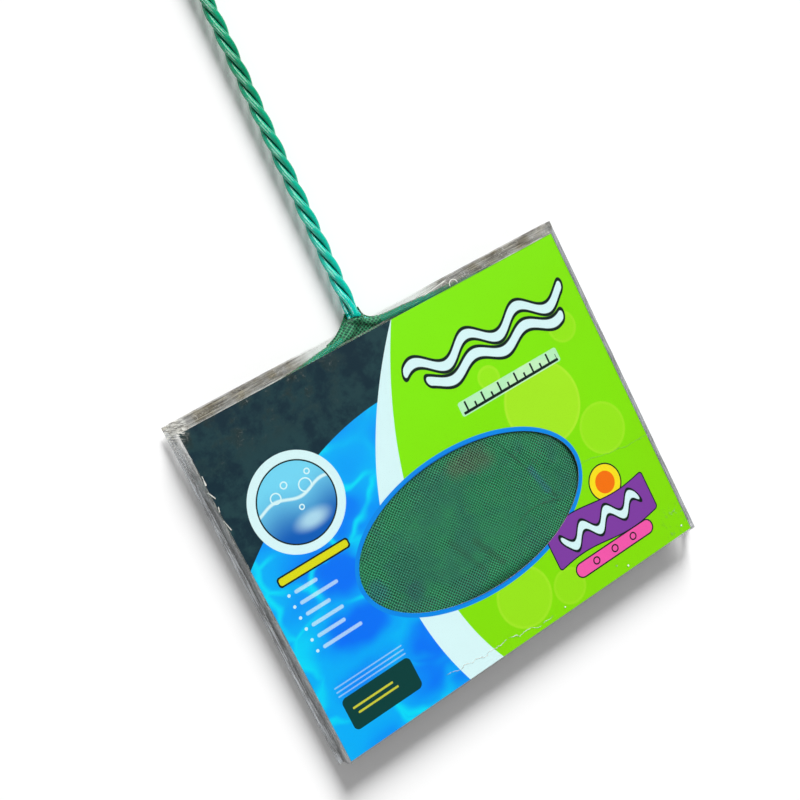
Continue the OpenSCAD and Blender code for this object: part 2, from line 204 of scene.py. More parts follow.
def screen(red, green, blue):
    """A colour as it looks on a screen, from 0 to 255, as the linear colour that a shader takes."""
    def linear(value):
        share = value / 255
        return share / 12.92 if share <= 0.04045 else ((share + 0.055) / 1.055) ** 2.4
    return (linear(red), linear(green), linear(blue), 1.0)


def mixed(tree, mask, under, over):
    """Colour over where the mask is 1, and under where it is 0."""
    node = tree.nodes.new("ShaderNodeMix")
    node.data_type = "RGBA"
    feed(tree, node.inputs["Factor"], mask)
    feed(tree, node.inputs["A"], under)
    feed(tree, node.inputs["B"], over)
    return node.outputs["Result"]


def layered(tree, colour, *layers):
    """Inks laid over a colour in turn, each where its own mask is 1."""
    for mask, ink in layers:
        colour = mixed(tree, mask, colour, ink)
    return colour


def surface_point(tree):
    """The point on the piece, in millimetres, as a vector socket."""
    place = tree.nodes.new("ShaderNodeTexCoord")
    scale = tree.nodes.new("ShaderNodeVectorMath")
    scale.operation = "SCALE"
    tree.links.new(place.outputs["Object"], scale.inputs[0])
    scale.inputs["Scale"].default_value = 1 / MM
    return scale.outputs[0]


def shrunk(tree, point, size):
    """A point with its distances divided by a size."""
    node = tree.nodes.new("ShaderNodeVectorMath")
    node.operation = "DIVIDE"
    tree.links.new(point, node.inputs[0])
    tree.links.new(joined(tree, size, size, size), node.inputs[1])
    return node.outputs[0]


def parts_of(tree, vector):
    """The signals X, Y and Z of a vector."""
    split = tree.nodes.new("ShaderNodeSeparateXYZ")
    tree.links.new(vector, split.inputs[0])
    return signals_of(tree, split, *"XYZ")


def signals_of(tree, node, *labels):
    """A node's outputs as signals."""
    return [Signal(tree, node.outputs[label]) for label in labels]


def joined(tree, x, y, z=0.0):
    """A vector socket from three values."""
    join = tree.nodes.new("ShaderNodeCombineXYZ")
    for socket, value in zip(join.inputs, (x, y, z)):
        feed(tree, socket, value)
    return join.outputs[0]


def clouds(tree, point, size, detail=2.0, rough=0.5, warp=0.0):
    """Soft noise from 0 to 1, whose blotches are about size across."""
    node = tree.nodes.new("ShaderNodeTexNoise")
    tree.links.new(point, node.inputs["Vector"])
    node.inputs["Scale"].default_value = 1 / size
    node.inputs["Detail"].default_value = detail
    node.inputs["Roughness"].default_value = rough
    node.inputs["Distortion"].default_value = warp
    return Signal(tree, node.outputs["Fac"])


def cells(tree, point, size, feature="F1", smooth=1.0):
    """Distances in a pattern of cells that are about size across."""
    node = tree.nodes.new("ShaderNodeTexVoronoi")
    node.feature = feature
    tree.links.new(point, node.inputs["Vector"])
    node.inputs["Scale"].default_value = 1 / size
    if feature == "SMOOTH_F1":
        node.inputs["Smoothness"].default_value = smooth
    return Signal(tree, node.outputs["Distance"])


def bumped(tree, height, depth, strength=1.0):
    """A normal from a height between 0 and 1, where 1 stands depth millimetres up."""
    node = tree.nodes.new("ShaderNodeBump")
    feed(tree, node.inputs["Height"], height)
    node.inputs["Distance"].default_value = depth * MM
    node.inputs["Strength"].default_value = strength
    return node.outputs["Normal"]


def new_group(name, inputs, outputs):
    """An empty node group with a point and named numbers in, {label: value}, and named numbers out."""
    group = bpy.data.node_groups.new(name, "ShaderNodeTree")
    group.interface.new_socket(name="Point", in_out="INPUT", socket_type="NodeSocketVector")
    for label, value in inputs.items():
        socket = group.interface.new_socket(name=label, in_out="INPUT", socket_type="NodeSocketFloat")
        socket.default_value = value
    for label in outputs:
        group.interface.new_socket(name=label, in_out="OUTPUT", socket_type="NodeSocketFloat")
    return group, group.nodes.new("NodeGroupInput"), group.nodes.new("NodeGroupOutput")


def put_out(group, out, **signals):
    """Feeds a group's outputs by name."""
    for label, signal in signals.items():
        group.links.new(signal.socket, out.inputs[label])


def placed_group(tree, group, **values):
    """A group set into a tree, with its inputs fed by name."""
    node = tree.nodes.new("ShaderNodeGroup")
    node.node_tree = group
    for label, value in values.items():
        feed(tree, node.inputs[label.replace("_", " ")], value)
    return node


def new_material(name, **plain):
    """A material with one Principled shader, whose plain values are set on its own sockets."""
    material = bpy.data.materials.new(name)
    material.use_nodes = True
    tree = material.node_tree
    shader = tree.nodes["Principled BSDF"]
    for label, value in plain.items():
        shader.inputs[label.replace("_", " ")].default_value = value
    return material, tree, shader


# Effects that several materials share

def weave_group():
    """Knitted mesh: rows of small open diamonds, with a knot where two threads cross."""
    group, given, out = new_group("net_weave", {"Pitch": 1.3, "Thread": 0.5, "Turn": 0.0},
                                  ("Cover", "Lift", "Shade"))
    point = given.outputs["Point"]
    pitch, thread = signals_of(group, given, "Pitch", "Thread")
    turn = group.nodes.new("ShaderNodeVectorRotate")
    turn.rotation_type = "Z_AXIS"
    group.links.new(point, turn.inputs["Vector"])
    group.links.new(given.outputs["Turn"], turn.inputs["Angle"])
    x, y = parts_of(group, turn.outputs[0])[:2]
    pull = (clouds(group, point, 9.0) - 0.5) * 1.6
    across = (x + pull) / pitch
    along = (y + pull * 0.6) / pitch
    left = abs((across + along).part() * 2 - 1)
    right = abs((across - along).part() * 2 - 1)
    strand = left.most(right)
    edge = 1 - thread
    lift = strand.ramp(edge, 1.0)
    knot = (left * right).ramp(0.55, 1.0)
    put_out(group, out, Cover=strand.ramp(edge - 0.16, edge + 0.16), Lift=lift * 0.6 + knot * 0.4,
            Shade=clouds(group, point, 14.0, 3.0, 0.6))
    return group


def crinkle_group():
    """Film that has been folded and handled: sharp facets, and broken painted glints along their edges."""
    group, given, out = new_group("film_crinkle", {"Size": 4.0}, ("Height", "Glint"))
    point = shrunk(group, given.outputs["Point"], given.outputs["Size"])
    wide = cells(group, point, 1.0)
    fine = cells(group, point, 0.35)
    edge = cells(group, point, 0.6, "DISTANCE_TO_EDGE")
    haze = clouds(group, point, 0.8, 4.0, 0.65, 0.6)
    put_out(group, out, Height=wide * 0.6 + fine * 0.4,
            Glint=edge.ramp(0.0, 0.05, 1.0, 0.0) * haze.ramp(0.5, 0.66))
    return group


def wear_group():
    """Handling marks on a smooth surface: a faint grain, thin scratches and a slow change of shade."""
    group, given, out = new_group("handling_wear", {"Grain": 0.6}, ("Grain", "Scratch", "Shade"))
    point = given.outputs["Point"]
    near = shrunk(group, point, given.outputs["Grain"])
    speck = clouds(group, near, 1.0, 3.0, 0.6)
    line = clouds(group, near, 5.0, 1.0, 0.4, 3.0)
    scratch = abs(line - 0.5).ramp(0.0, 0.012, 1.0, 0.0) * speck.ramp(0.5, 0.7)
    put_out(group, out, Grain=speck, Scratch=scratch, Shade=clouds(group, point, 30.0))
    return group


weave = weave_group()
crinkle = crinkle_group()
wear = wear_group()


# Materials

def wire_coating_material():
    """Glossy soft plastic over the wire: emerald up the handle, more turquoise at its root, and painted
    shade in the grooves between the strands."""
    material, tree, shader = new_material("wire_coating", Roughness=0.2, Specular_IOR_Level=0.4,
                                          Coat_Weight=0.25, Coat_Roughness=0.1, Subsurface_Weight=0.55,
                                          Subsurface_Scale=0.0022)
    shader.inputs["Subsurface Radius"].default_value = (0.25, 1.0, 0.7)
    point = surface_point(tree)
    x, y, z = parts_of(tree, point)
    marks = placed_group(tree, wear, Point=point, Grain=0.5)
    grain, scratch, shade = signals_of(tree, marks, "Grain", "Scratch", "Shade")
    handle_top = neck[1] + handle_l
    root = y.ramp(neck[1] - 10, neck[1] + 120, 1.0, 0.0)
    off_axis = (x - neck[0]) * math.cos(handle_lean) + (y - neck[1]) * math.sin(handle_lean)
    off_level = z - (wire_z + handle_rise)
    # Painted shade: the colour is darkened where the strands meet near the twist's axis, in place of the
    # shade in the grooves.
    painted_groove_shade = (off_axis.square() + off_level.square()).root().ramp(1.7, 2.6, 1.0, 0.0)
    painted_groove_shade = painted_groove_shade * y.ramp(neck[1] - 2, neck[1] + 3) * y.ramp(handle_top - 8, handle_top, 1.0, 0.0)
    emerald = mixed(tree, shade.ramp(0.35, 0.65), screen(0, 152, 108), screen(0, 168, 124))
    green = layered(tree, emerald, (root * 0.95, screen(0, 204, 186)),
                    (scratch * 0.3, screen(120, 215, 180)), (painted_groove_shade * 0.85, screen(0, 58, 50)))
    tree.links.new(green, shader.inputs["Base Color"])
    feed(tree, shader.inputs["Roughness"], grain.ramp(0.3, 0.8, 0.14, 0.26) + scratch * 0.3)
    tree.links.new(bumped(tree, grain, 0.012), shader.inputs["Normal"])
    return material


def steel_material(name, colour, rough):
    """Drawn or crimped steel, with fine scratches."""
    material, tree, shader = new_material(name, Metallic=1.0)
    marks = placed_group(tree, wear, Point=surface_point(tree), Grain=0.3)
    grain, scratch = signals_of(tree, marks, "Grain", "Scratch")
    dull = tuple(0.72 * part for part in colour[:3]) + (1.0,)
    tree.links.new(mixed(tree, grain.ramp(0.3, 0.7), dull, colour), shader.inputs["Base Color"])
    feed(tree, shader.inputs["Roughness"], grain.ramp(0.2, 0.8, rough - 0.08, rough + 0.12) + scratch * 0.2)
    tree.links.new(bumped(tree, grain + scratch, 0.02), shader.inputs["Normal"])
    return material


def net_material(name, thread_colour, painted_highlight_colour, deep_colour, pitch, thread, turn, stains=(), folds=()):
    """Fine knitted nylon mesh, whose holes let through what lies behind. A stain is a place in X and Y, its
    size, its share and its colour. A fold is its two ends, its half width, its share and its colour."""
    material, tree, shader = new_material(name, Roughness=0.5, Sheen_Weight=0.15, Sheen_Roughness=0.4)
    point = surface_point(tree)
    x, y = parts_of(tree, point)[:2]
    knit = placed_group(tree, weave, Point=point, Pitch=pitch, Thread=thread, Turn=turn)
    cover, lift, shade = signals_of(tree, knit, "Cover", "Lift", "Shade")
    body = mixed(tree, shade.ramp(0.35, 0.65), deep_colour, thread_colour)
    for place, size, share, colour in stains:
        reach = disc(x, y, place, size) + (clouds(tree, point, 7.0, 3.0, 0.6) - 0.5) * size
        body = mixed(tree, reach.ramp(-0.5 * size, 0.3 * size, share, 0.0), body, colour)
    # Fold lines: the dark ones are painted shade along the mesh's creases.
    for start, end, half_w, share, colour in folds:
        gap = line_gap(x, y, start, end) + (clouds(tree, point, 9.0) - 0.5) * half_w
        body = mixed(tree, gap.ramp(0.2 * half_w, half_w, share, 0.0), body, colour)
    # Painted shade and highlights: the thread is darkened towards the edges of its holes and lightened on
    # its tops and knots.
    dark = mixed(tree, lift.ramp(0.0, 0.4), screen(0, 40, 30), body)
    with_painted_highlights = mixed(tree, lift.ramp(0.4, 1.0) * 0.8, dark, painted_highlight_colour)
    tree.links.new(with_painted_highlights, shader.inputs["Base Color"])
    if folds:
        # Past the seam of the folded bag a single ply is left, and its holes are drawn shut
        cover = cover.most((y - x * math.tan(hoop_turn)).ramp(*past_seam, 1.0, 0.0))
    feed(tree, shader.inputs["Alpha"], cover)
    tree.links.new(bumped(tree, lift, 0.25, 0.8), shader.inputs["Normal"])
    return material


def thread_material():
    """Spun sewing thread."""
    material, tree, shader = new_material("sewing_thread", Roughness=0.6, Sheen_Weight=0.3)
    x, y = parts_of(tree, surface_point(tree))[:2]
    ply = ((x + y) * 9.0).sine() * 0.5 + 0.5
    tree.links.new(mixed(tree, ply, screen(12, 70, 48), screen(34, 120, 84)), shader.inputs["Base Color"])
    tree.links.new(bumped(tree, ply, 0.05), shader.inputs["Normal"])
    return material


# Distances on a flat surface, in millimetres

def line_gap(u, v, start, end):
    """Distance from a straight line between two places."""
    run_u, run_v = end[0] - start[0], end[1] - start[1]
    reach = ((u - start[0]) * run_u + (v - start[1]) * run_v) / (run_u ** 2 + run_v ** 2)
    reach = reach.most(0.0).least(1.0)
    return ((u - start[0] - reach * run_u).square() + (v - start[1] - reach * run_v).square()).root()


def disc(u, v, middle, radius):
    """Distance outside a disc."""
    return ((u - middle[0]).square() + (v - middle[1]).square()).root() - radius


def oval(u, v, middle, half_w, half_h):
    """Distance outside an oval, near its edge."""
    reach = (((u - middle[0]) / half_w).square() + ((v - middle[1]) / half_h).square()).root()
    return (reach - 1) * half_h


def block(u, v, middle, half_w, half_h, corner):
    """Distance outside a rectangle with round corners."""
    over_u = (abs(u - middle[0]) - (half_w - corner)).most(0.0)
    over_v = (abs(v - middle[1]) - (half_h - corner)).most(0.0)
    return (over_u.square() + over_v.square()).root() - corner


def wave_line(u, v, start, end, height, swing, length):
    """Distance from a wavy line that runs across the card."""
    middle = (start + end) / 2
    path = (u * (2 * math.pi / length)).sine() * swing + height
    beyond = (abs(u - middle) - (end - start) / 2).most(0.0)
    return ((v - path).square() * 0.55 + beyond.square()).root()


ring_at = (-72, 31)
window_drop = 18.7
window_half_w = 63
window_half_h = 33.5
ink_white = screen(222, 253, 255)
ink_dark = screen(14, 34, 30)


def water_ink(tree, point, u, v):
    """Blue water with soft bright ripples."""
    large = clouds(tree, point, 46.0, 2.0, 0.5, 0.4)
    blue = mixed(tree, large.ramp(0.38, 0.62), screen(0, 118, 252), screen(0, 150, 255))
    warp = joined(tree, u + clouds(tree, point, 22.0) * 26, v * 1.5 + clouds(tree, point, 17.0, 1.0) * 20)
    glow = cells(tree, warp, 30.0, "SMOOTH_F1", smooth=0.35)
    thin = cells(tree, warp, 30.0, "DISTANCE_TO_EDGE")
    ripple = thin.ramp(0.0, 0.10, 1.0, 0.0) * clouds(tree, point, 28.0, 1.0).ramp(0.4, 0.62)
    return layered(tree, blue, (glow.ramp(0.25, 0.75) * 0.85, screen(0, 188, 255)),
                   (ripple * 0.95, screen(0, 226, 255)))


def lime_ink(tree, point, u, v):
    """Lime field with a soft fall of tone and pale bubbles."""
    tone = (v * 0.55 - u * 0.25 + clouds(tree, point, 60.0, 1.0) * 60).ramp(-40, 80)
    lime = mixed(tree, tone, screen(138, 228, 0), screen(136, 242, 0))
    for middle, radius, share in (((60, 12), 21, 0.5), ((84, -14), 13, 0.28), ((6, -64), 15, 0.3),
                                  ((30, -72), 9, 0.22), ((88, 40), 8, 0.25), ((40, 36), 6, 0.3)):
        bubble = disc(u, v, middle, radius)
        rim = abs(bubble + 0.6).under(0.6, 0.5)
        lime = layered(tree, lime, (bubble.under(0.0, 0.4) * share, screen(196, 244, 50)),
                       (rim * share * 0.6, screen(204, 248, 70)))
    return lime


def ring_ink(tree, colour, u, v):
    """White ring round plain water, with a wave and bubbles in it."""
    ring_u, ring_v = ring_at
    depth = (v - ring_v + (u * 0.25).sine() * 1.6)
    shine = oval(u, v, (ring_u + 3, ring_v - 10), 10, 5)
    water = mixed(tree, depth.ramp(-16, 12), screen(6, 96, 190), screen(120, 220, 250))
    water = layered(tree, water, (abs(depth - 3).under(0.7, 0.5), ink_white),
                    (shine.ramp(-4, 1, 0.75, 0.0), screen(200, 244, 255)))
    for place_u, place_v, radius in ((-8, 6, 2.4), (-2, 9.5, 1.5), (7, 5, 3.0), (10.5, 10, 1.2),
                                     (1, -3, 1.1)):
        bubble = disc(u, v, (ring_u + place_u, ring_v + place_v), radius)
        water = mixed(tree, abs(bubble).under(0.3, 0.15), water, ink_white)
    inner = disc(u, v, ring_at, 18.6)
    outer = disc(u, v, ring_at, 23.2)
    return layered(tree, colour, (outer.under(), ink_white), (inner.under(0.5), ink_dark),
                   (inner.under(-0.2), water))


def ruler_ink(tree, colour, u, v):
    """Wavy title ornament and, under it, a plain scale of ticks."""
    for height, swing, start, end in ((55.5, 4.2, 3, 96), (46.5, 3.0, 12, 90)):
        line = wave_line(u, v, start, end, height, swing, 31.0)
        colour = outlined(tree, colour, line, 2.9, 1.7)
    scale_start, scale_v = 20.5, 27.4
    middle = scale_start + 28.75
    near_tick = abs(((u - scale_start) / 5).part() - 0.5) * 5
    tick_high = (((u - scale_start) / 10).part() - 0.25).under(0.25, 0.01) * 2.4 + 2.4
    across = abs(u - middle).under(28.6, 0.1)
    height = v - scale_v
    ticks = near_tick.under(0.5, 0.1) * height.ramp(-0.1, 0.1) * (height - tick_high).under() * across
    base = block(u, v, (middle, 27), 29, 0.7, 0.5)
    halo = block(u, v, (middle, 29.3), 30.2, 3.6, 1.2)
    return layered(tree, colour, (halo.under() * 0.55, ink_white), (ticks.most(base.under()), ink_dark))


def outlined(tree, colour, line, outer, inner):
    """A white line with a dark outline, from a distance and the half width of each."""
    return layered(tree, colour, (line.under(outer, 0.15), ink_dark), (line.under(inner, 0.15), ink_white))


def list_ink(tree, colour, u, v):
    """Yellow heading bar, six rows with a dot and a plain pale bar each, thin rules and a dark panel."""
    middle = -78
    layers = [(block(u, v, (middle, 3.6), 19, 2.5, 1.6).under(), ink_dark),
              (block(u, v, (middle, 3.6), 18.2, 1.7, 1.2).under(), screen(226, 226, 20))]
    for row, bar_l in enumerate((12, 20, 13, 17, 15, 21)):
        row_v = -3.4 - 5.6 * row
        bar = block(u, v, (-92 + bar_l / 2, row_v), bar_l / 2, 0.85, 0.8)
        layers += [(disc(u, v, (-95, row_v), 0.75).under() * 0.9, ink_white),
                   (bar.under(0.0, 0.25) * 0.6, ink_white)]
    for row in range(3):
        line = block(u, v, (middle, -50.4 - 2.1 * row), 18.5, 0.3, 0.3)
        layers.append((line.under(0.0, 0.2) * 0.4, ink_white))
    layers.append((block(u, v, (middle + 0.3, -64.4), 18.8, 8, 2.6).under(), screen(4, 66, 62)))
    for row in range(2):
        line = block(u, v, (-82 + 1.5 * row, -62.6 - 3 * row), 11, 0.5, 0.4)
        layers.append((line.under(0.0, 0.15) * 0.85, screen(226, 226, 60)))
    return layered(tree, colour, *layers)


def badge_ink(tree, colour, u, v):
    """Purple ribbon with a wave on it, an orange sun behind it and a pink pill under it."""
    sun_at = (72, -38)
    sun = disc(u, v, sun_at, 9.5)
    swell = ((u - 60) * 0.1).sine() * 1.6
    ribbon = block(u, v + swell, (61, -53.5), 32, 10.5, 2)
    colour = layered(tree, colour, (sun.under(), ink_dark), (sun.under(-0.7), screen(255, 232, 30)),
                     (disc(u, v, sun_at, 5.6).under(), screen(250, 120, 10)),
                     (ribbon.under(), ink_dark), (ribbon.under(-0.6), screen(132, 64, 168)))
    colour = outlined(tree, colour, wave_line(u, v, 38, 84, -53.5, 3.4, 15.5), 2.7, 1.6)
    pill = block(u, v, (61, -69), 25, 4, 3.9)
    rings = [abs(disc(u, v, (61 + step, -69), 1.7)).under(0.35, 0.12) for step in (-12, 0, 12)]
    return layered(tree, colour, (pill.under(), ink_dark), (pill.under(-0.7), screen(250, 92, 178)),
                   *[(ring, ink_dark) for ring in rings])


def card_material():
    """Coated card: printed on its front, pale grey board on its back and its cut edges."""
    material, tree, shader = new_material("card_print", Specular_IOR_Level=0.15)
    point = surface_point(tree)
    x, y, z = parts_of(tree, point)
    u = x - card_mid[0]
    v = y - card_mid[1]
    blotches = clouds(tree, point, 16.0, 5.0, 0.7)
    dark = mixed(tree, blotches.ramp(0.4, 0.6), screen(15, 45, 58), screen(32, 66, 72))
    shore = v - 52.3 + (u + 10).square() * 0.00414
    height = (v + 35).square()
    swoosh_left = u + 46 - height * 0.0039
    swoosh_right = u + 28.5 - height * ((v + 35).under(0.0, 0.5) * 0.0023 + 0.00265)
    border = oval(u, v, (0, -window_drop), window_half_w + 2.0, window_half_h + 2.3)
    colour = layered(tree, dark, (shore.under(0.0, 0.2), water_ink(tree, point, u, v)),
                     (swoosh_left.ramp(-0.15, 0.15), ink_white),
                     (swoosh_right.ramp(-0.15, 0.15), lime_ink(tree, point, u, v)),
                     (border.under(), screen(6, 142, 240)), (border.under(-1.9, 0.3), screen(8, 100, 196)))
    for ink in (ring_ink, ruler_ink, list_ink, badge_ink):
        colour = ink(tree, colour, u, v)
    fibres = clouds(tree, point, 0.8, 4.0, 0.7).ramp(0.3, 0.75)
    board = mixed(tree, fibres, screen(196, 192, 182), screen(222, 219, 210))
    front = z.ramp(card_high[2] - 0.06, card_high[2] - 0.02)
    tree.links.new(mixed(tree, front, board, colour), shader.inputs["Base Color"])
    marks = placed_group(tree, wear, Point=point, Grain=0.7)
    grain, = signals_of(tree, marks, "Grain")
    feed(tree, shader.inputs["Roughness"], grain.ramp(0.2, 0.8, 0.34, 0.46) + (1 - front) * 0.35)
    tree.links.new(bumped(tree, clouds(tree, point, 42.0) + grain * 0.01, 0.5), shader.inputs["Normal"])
    return material


def film_streaks(tree, point, along_mouth):
    """Fine streaks that run up the pouch's sides, or along its mouth where the mask is 1."""
    x, y, z = parts_of(tree, point)
    upright = clouds(tree, joined(tree, x / 0.55, y / 13, z / 3), 1.0, 3.0, 0.6, 0.4)
    level = clouds(tree, joined(tree, x / 13, y / 0.55, z / 3), 1.0, 3.0, 0.6, 0.4)
    return upright * (1 - along_mouth) + level * along_mouth


def painted_crease_glints(tree, point, u, v):
    """Painted highlights: white lines and glints where the film is sharply creased, 1 on the line and 0 off
    it.
    """
    wander = clouds(tree, point, 11.0, 3.0, 0.6)
    broken = clouds(tree, point, 3.2)
    swing = wander - 0.5
    low = abs(v + 74 + (u + 46) * 0.1 - swing * 9).under(0.16, 0.14)
    low = low * abs(u + 16).under(30, 2) * broken.ramp(0.3, 0.5)
    lip = abs(v - 83.1).under(0.3, 0.3) * abs(u + 8).under(14, 3) * 0.4
    across = abs(v + 24 + (u - 64) * 0.14 - swing * 5).under(0.1, 0.2) * abs(u - 86).under(22, 3) * 0.4
    left = abs(u + 105.4 + swing * 2.5).under(0.1, 0.14) * broken.ramp(0.46, 0.56) * 0.8
    specks = cells(tree, point, 5.2).under(0.11, 0.02) * (v + 74).under(-3.0, 1.5) * (u - 12).ramp(0, 8)
    curl = abs(v - 85.6 - (u - 32) * 0.12).under(0.3, 0.3) * abs(u - 35).under(7, 1.5)
    hook = abs(disc(u, v, (45, 83.4), 2.2)).under(0.2, 0.15) * (v - 83).ramp(0, 0.4)
    marks = [across, left, specks, curl, hook, lip]
    for place_v, lean, length in ((61.5, -0.4, 4.0), (54.0, 0.5, 3.5), (46.5, -0.5, 2.0), (40.0, 0.3, 5.0)):
        dash = line_gap(u, v, (-104.9 - lean, place_v), (-104.4 + lean, place_v - length))
        marks.append((dash + (broken - 0.5) * 0.8).under(0.25, 0.25))
    bent = joined(tree, u + wander * 9, v - clouds(tree, point, 4.0, 3.0, 0.6) * 7)
    web = cells(tree, bent, 3.0, "DISTANCE_TO_EDGE")
    facets = web.ramp(0.0, 0.05, 1.0, 0.0) * broken.ramp(0.5, 0.62)
    corner = (u - 106 - (v + 82) * 0.35).most(v + 66).under(0.0, 1.0) * (u - 86).ramp(0, 14)
    marks.append(facets * corner * 0.55)
    bundle = joined(tree, (u * 0.35 + v) / 0.7, (v * 0.35 - u) / 3.2)
    crumple = clouds(tree, bundle, 1.0, 3.0, 0.6, 0.8).ramp(0.47, 0.56)
    top_corner = (v - 80 - (u + 104) * 0.5).ramp(-3, 3) * (u + 100).under(0.0, 3.0)
    marks.append(crumple * top_corner)
    for mark in marks:
        low = low.most(mark)
    return low


film_ior = 1.42


def film_material(name, seam=False):
    """Clear film: nearly unseen over the card, smoky and streaked where it is crumpled round it, with
    painted highlights along its creases and painted dark reflections over the card's upper left.
    """
    material, tree, shader = new_material(name, Roughness=0.38, Specular_IOR_Level=0.3)
    material.use_transparent_shadow = True
    point = surface_point(tree)
    x, y, z = parts_of(tree, point)
    u = x - card_mid[0]
    v = y - card_mid[1]
    side = abs(u) - card_size[0] / 2
    above = v - card_size[1] / 2
    margin = side.most(above).ramp(-0.5, 0.6)
    along_mouth = (above - side).ramp(-0.8, 0.8)
    streak = film_streaks(tree, point, along_mouth)
    patch = clouds(tree, point, 8.0, 3.0, 0.6)
    folds = placed_group(tree, crinkle, Point=point, Size=2.4)
    height, painted_glint = signals_of(tree, folds, "Height", "Glint")
    # Painted highlights: white crease lines and glints, laid over the film's colour and made opaque.
    marks = painted_crease_glints(tree, point, u, v)
    mouth_share = patch.ramp(0.35, 0.65, 0.45, 1.0) * along_mouth
    dark = mixed(tree, mouth_share, screen(130, 132, 134), screen(50, 40, 20))
    light = mixed(tree, mouth_share, screen(212, 217, 222), screen(150, 140, 108))
    tone = mixed(tree, streak.ramp(0.42, 0.62), dark, light)
    # Over the card the film's own colour is a dark tone, seen only where the painted dark reflections lie.
    tone = layered(tree, screen(40, 42, 34), (margin, tone),
                   (marks.most(painted_glint * 0.7).least(1.0), screen(252, 252, 244)))
    tree.links.new(tone, shader.inputs["Base Color"])
    tree.links.new(bumped(tree, height * 0.4 + streak * 0.6, 0.3), shader.inputs["Normal"])
    if seam:
        smoke = streak.ramp(0.35, 0.7) * 0.35 + 0.4
    else:
        open_neck = abs(x + 2).ramp(28, 50) * along_mouth + (1 - along_mouth)
        smoke = streak.ramp(0.38, 0.62, 1.0, 0.0) * 0.26 + patch.ramp(0.3, 0.7) * 0.16 + 0.34
        smoke = smoke * open_neck
    # Painted reflection: dark smudges over the card's upper left, standing for the film's wrinkles mirrored
    # there.
    painted_dark_reflection = patch.ramp(0.45, 0.7) * v.ramp(54, 80) * (1 - margin) * 0.4 * (-u).ramp(10, 40)
    front = z.ramp(front_low[2] - 2.0, front_low[2] - 1.0, 0.45, 1.0)
    body = (margin * smoke).most(marks * 0.8 * front).most(painted_glint * margin * 0.3).most(painted_dark_reflection * front)
    clear = tree.nodes.new("ShaderNodeBsdfTransparent")
    clear.inputs["Color"].default_value = (0.95, 0.95, 0.945, 1.0)
    gloss = tree.nodes.new("ShaderNodeBsdfGlossy")
    gloss.inputs["Roughness"].default_value = 0.09
    gloss.inputs["Color"].default_value = (1.0, 1.0, 1.0, 1.0)
    # The film's inner face is glossed as its outer face is, or it would mirror the inside of the pouch
    rim = tree.nodes.new("ShaderNodeFresnel")
    inner_face = Signal(tree, tree.nodes.new("ShaderNodeNewGeometry").outputs["Backfacing"])
    feed(tree, rim.inputs["IOR"], inner_face * (1 / film_ior - film_ior) + film_ior)
    hazy = shaders_mixed(tree, body + 0.004, clear, shader)
    glossy = shaders_mixed(tree, rim.outputs[0], hazy, gloss)
    tree.links.new(glossy.outputs[0], tree.nodes["Material Output"].inputs["Surface"])
    return material


def shaders_mixed(tree, share, under, over):
    """Shader over by the share given, and under for the rest."""
    node = tree.nodes.new("ShaderNodeMixShader")
    feed(tree, node.inputs[0], share)
    tree.links.new(under.outputs[0], node.inputs[1])
    tree.links.new(over.outputs[0], node.inputs[2])
    return node


def floor_material():
    """White paper floor: it keeps the shadow and shows white to the camera."""
    material, tree, shader = new_material("studio_floor", Roughness=0.9, Specular_IOR_Level=0.0)
    shader.inputs["Base Color"].default_value = (0.93, 0.93, 0.93, 1.0)
    path = tree.nodes.new("ShaderNodeLightPath")
    camera, glossy, through = signals_of(tree, path, "Is Camera Ray", "Is Glossy Ray",
                                         "Is Transmission Ray")
    shader.inputs["Emission Color"].default_value = (1.0, 1.0, 1.0, 1.0)
    feed(tree, shader.inputs["Emission Strength"], camera.most(glossy).most(through) * 0.1)
    return material


coating = wire_coating_material()
core_steel = steel_material("wire_core", screen(186, 188, 190), 0.3)
ferrule_steel = steel_material("ferrule", screen(205, 206, 205), 0.38)
# The second colour of each mesh is the painted highlight on its thread tops and knots.
hem_net = net_material("hem_mesh", screen(0, 164, 104), screen(130, 240, 170), screen(0, 128, 82),
                       1.5, 0.36, 0.3)
neck_net = net_material("neck_mesh", screen(0, 124, 82), screen(116, 234, 158), screen(0, 92, 62),
                        2.0, 0.82, 0.3)
past_seam = (-43, -38)
bag_stains = [((-58.4, -26.0), 6, 0.6, screen(18, 118, 140)), ((-42.0, -35.0), 5, 0.5, screen(12, 70, 104))]
# Fold lines on the bag: the three dark ones are painted shade along creases.
bag_folds_and_crease_shade = [((4.0, 5.0), (18.0, 3.0), 9.0, 0.6, screen(98, 98, 72)),
             ((28.0, 6.0), (44.5, -33.0), 0.8, 0.6, screen(10, 64, 56)),
             ((38.5, -15.0), (41.5, -28.0), 2.8, 0.75, screen(20, 130, 146)),
             ((-4.0, -30.0), (4.0, -46.0), 2.6, 0.5, screen(4, 62, 48)),
             ((-16.0, -24.0), (-7.0, -43.0), 2.0, 0.4, screen(4, 70, 56))]
bag_net = net_material("bag_mesh", screen(4, 150, 92), screen(84, 218, 152), screen(0, 124, 96),
                       1.7, 0.56, 0.14, bag_stains, bag_folds_and_crease_shade)
thread = thread_material()
print_finish = card_material()
film = film_material("pouch_film")
weld_film = film_material("pouch_weld", seam=True)


# Meshes

def add_piece(name, points, faces, finish, body, slot, *nodes):
    """A piece from points in millimetres, in the frame, that rides on a body and stands for the nodes."""
    mesh = bpy.data.meshes.new(name)
    corners = [tuple(int(i) for i in face) for face in faces]
    mesh.from_pydata((np.asarray(points, float) * MM).tolist(), [], corners)
    mesh.materials.append(finish)
    mesh.shade_smooth()
    piece = bpy.data.objects.new(name, mesh)
    bpy.context.scene.collection.objects.link(piece)
    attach(piece, body)
    if nodes:
        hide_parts(*nodes)
    return piece


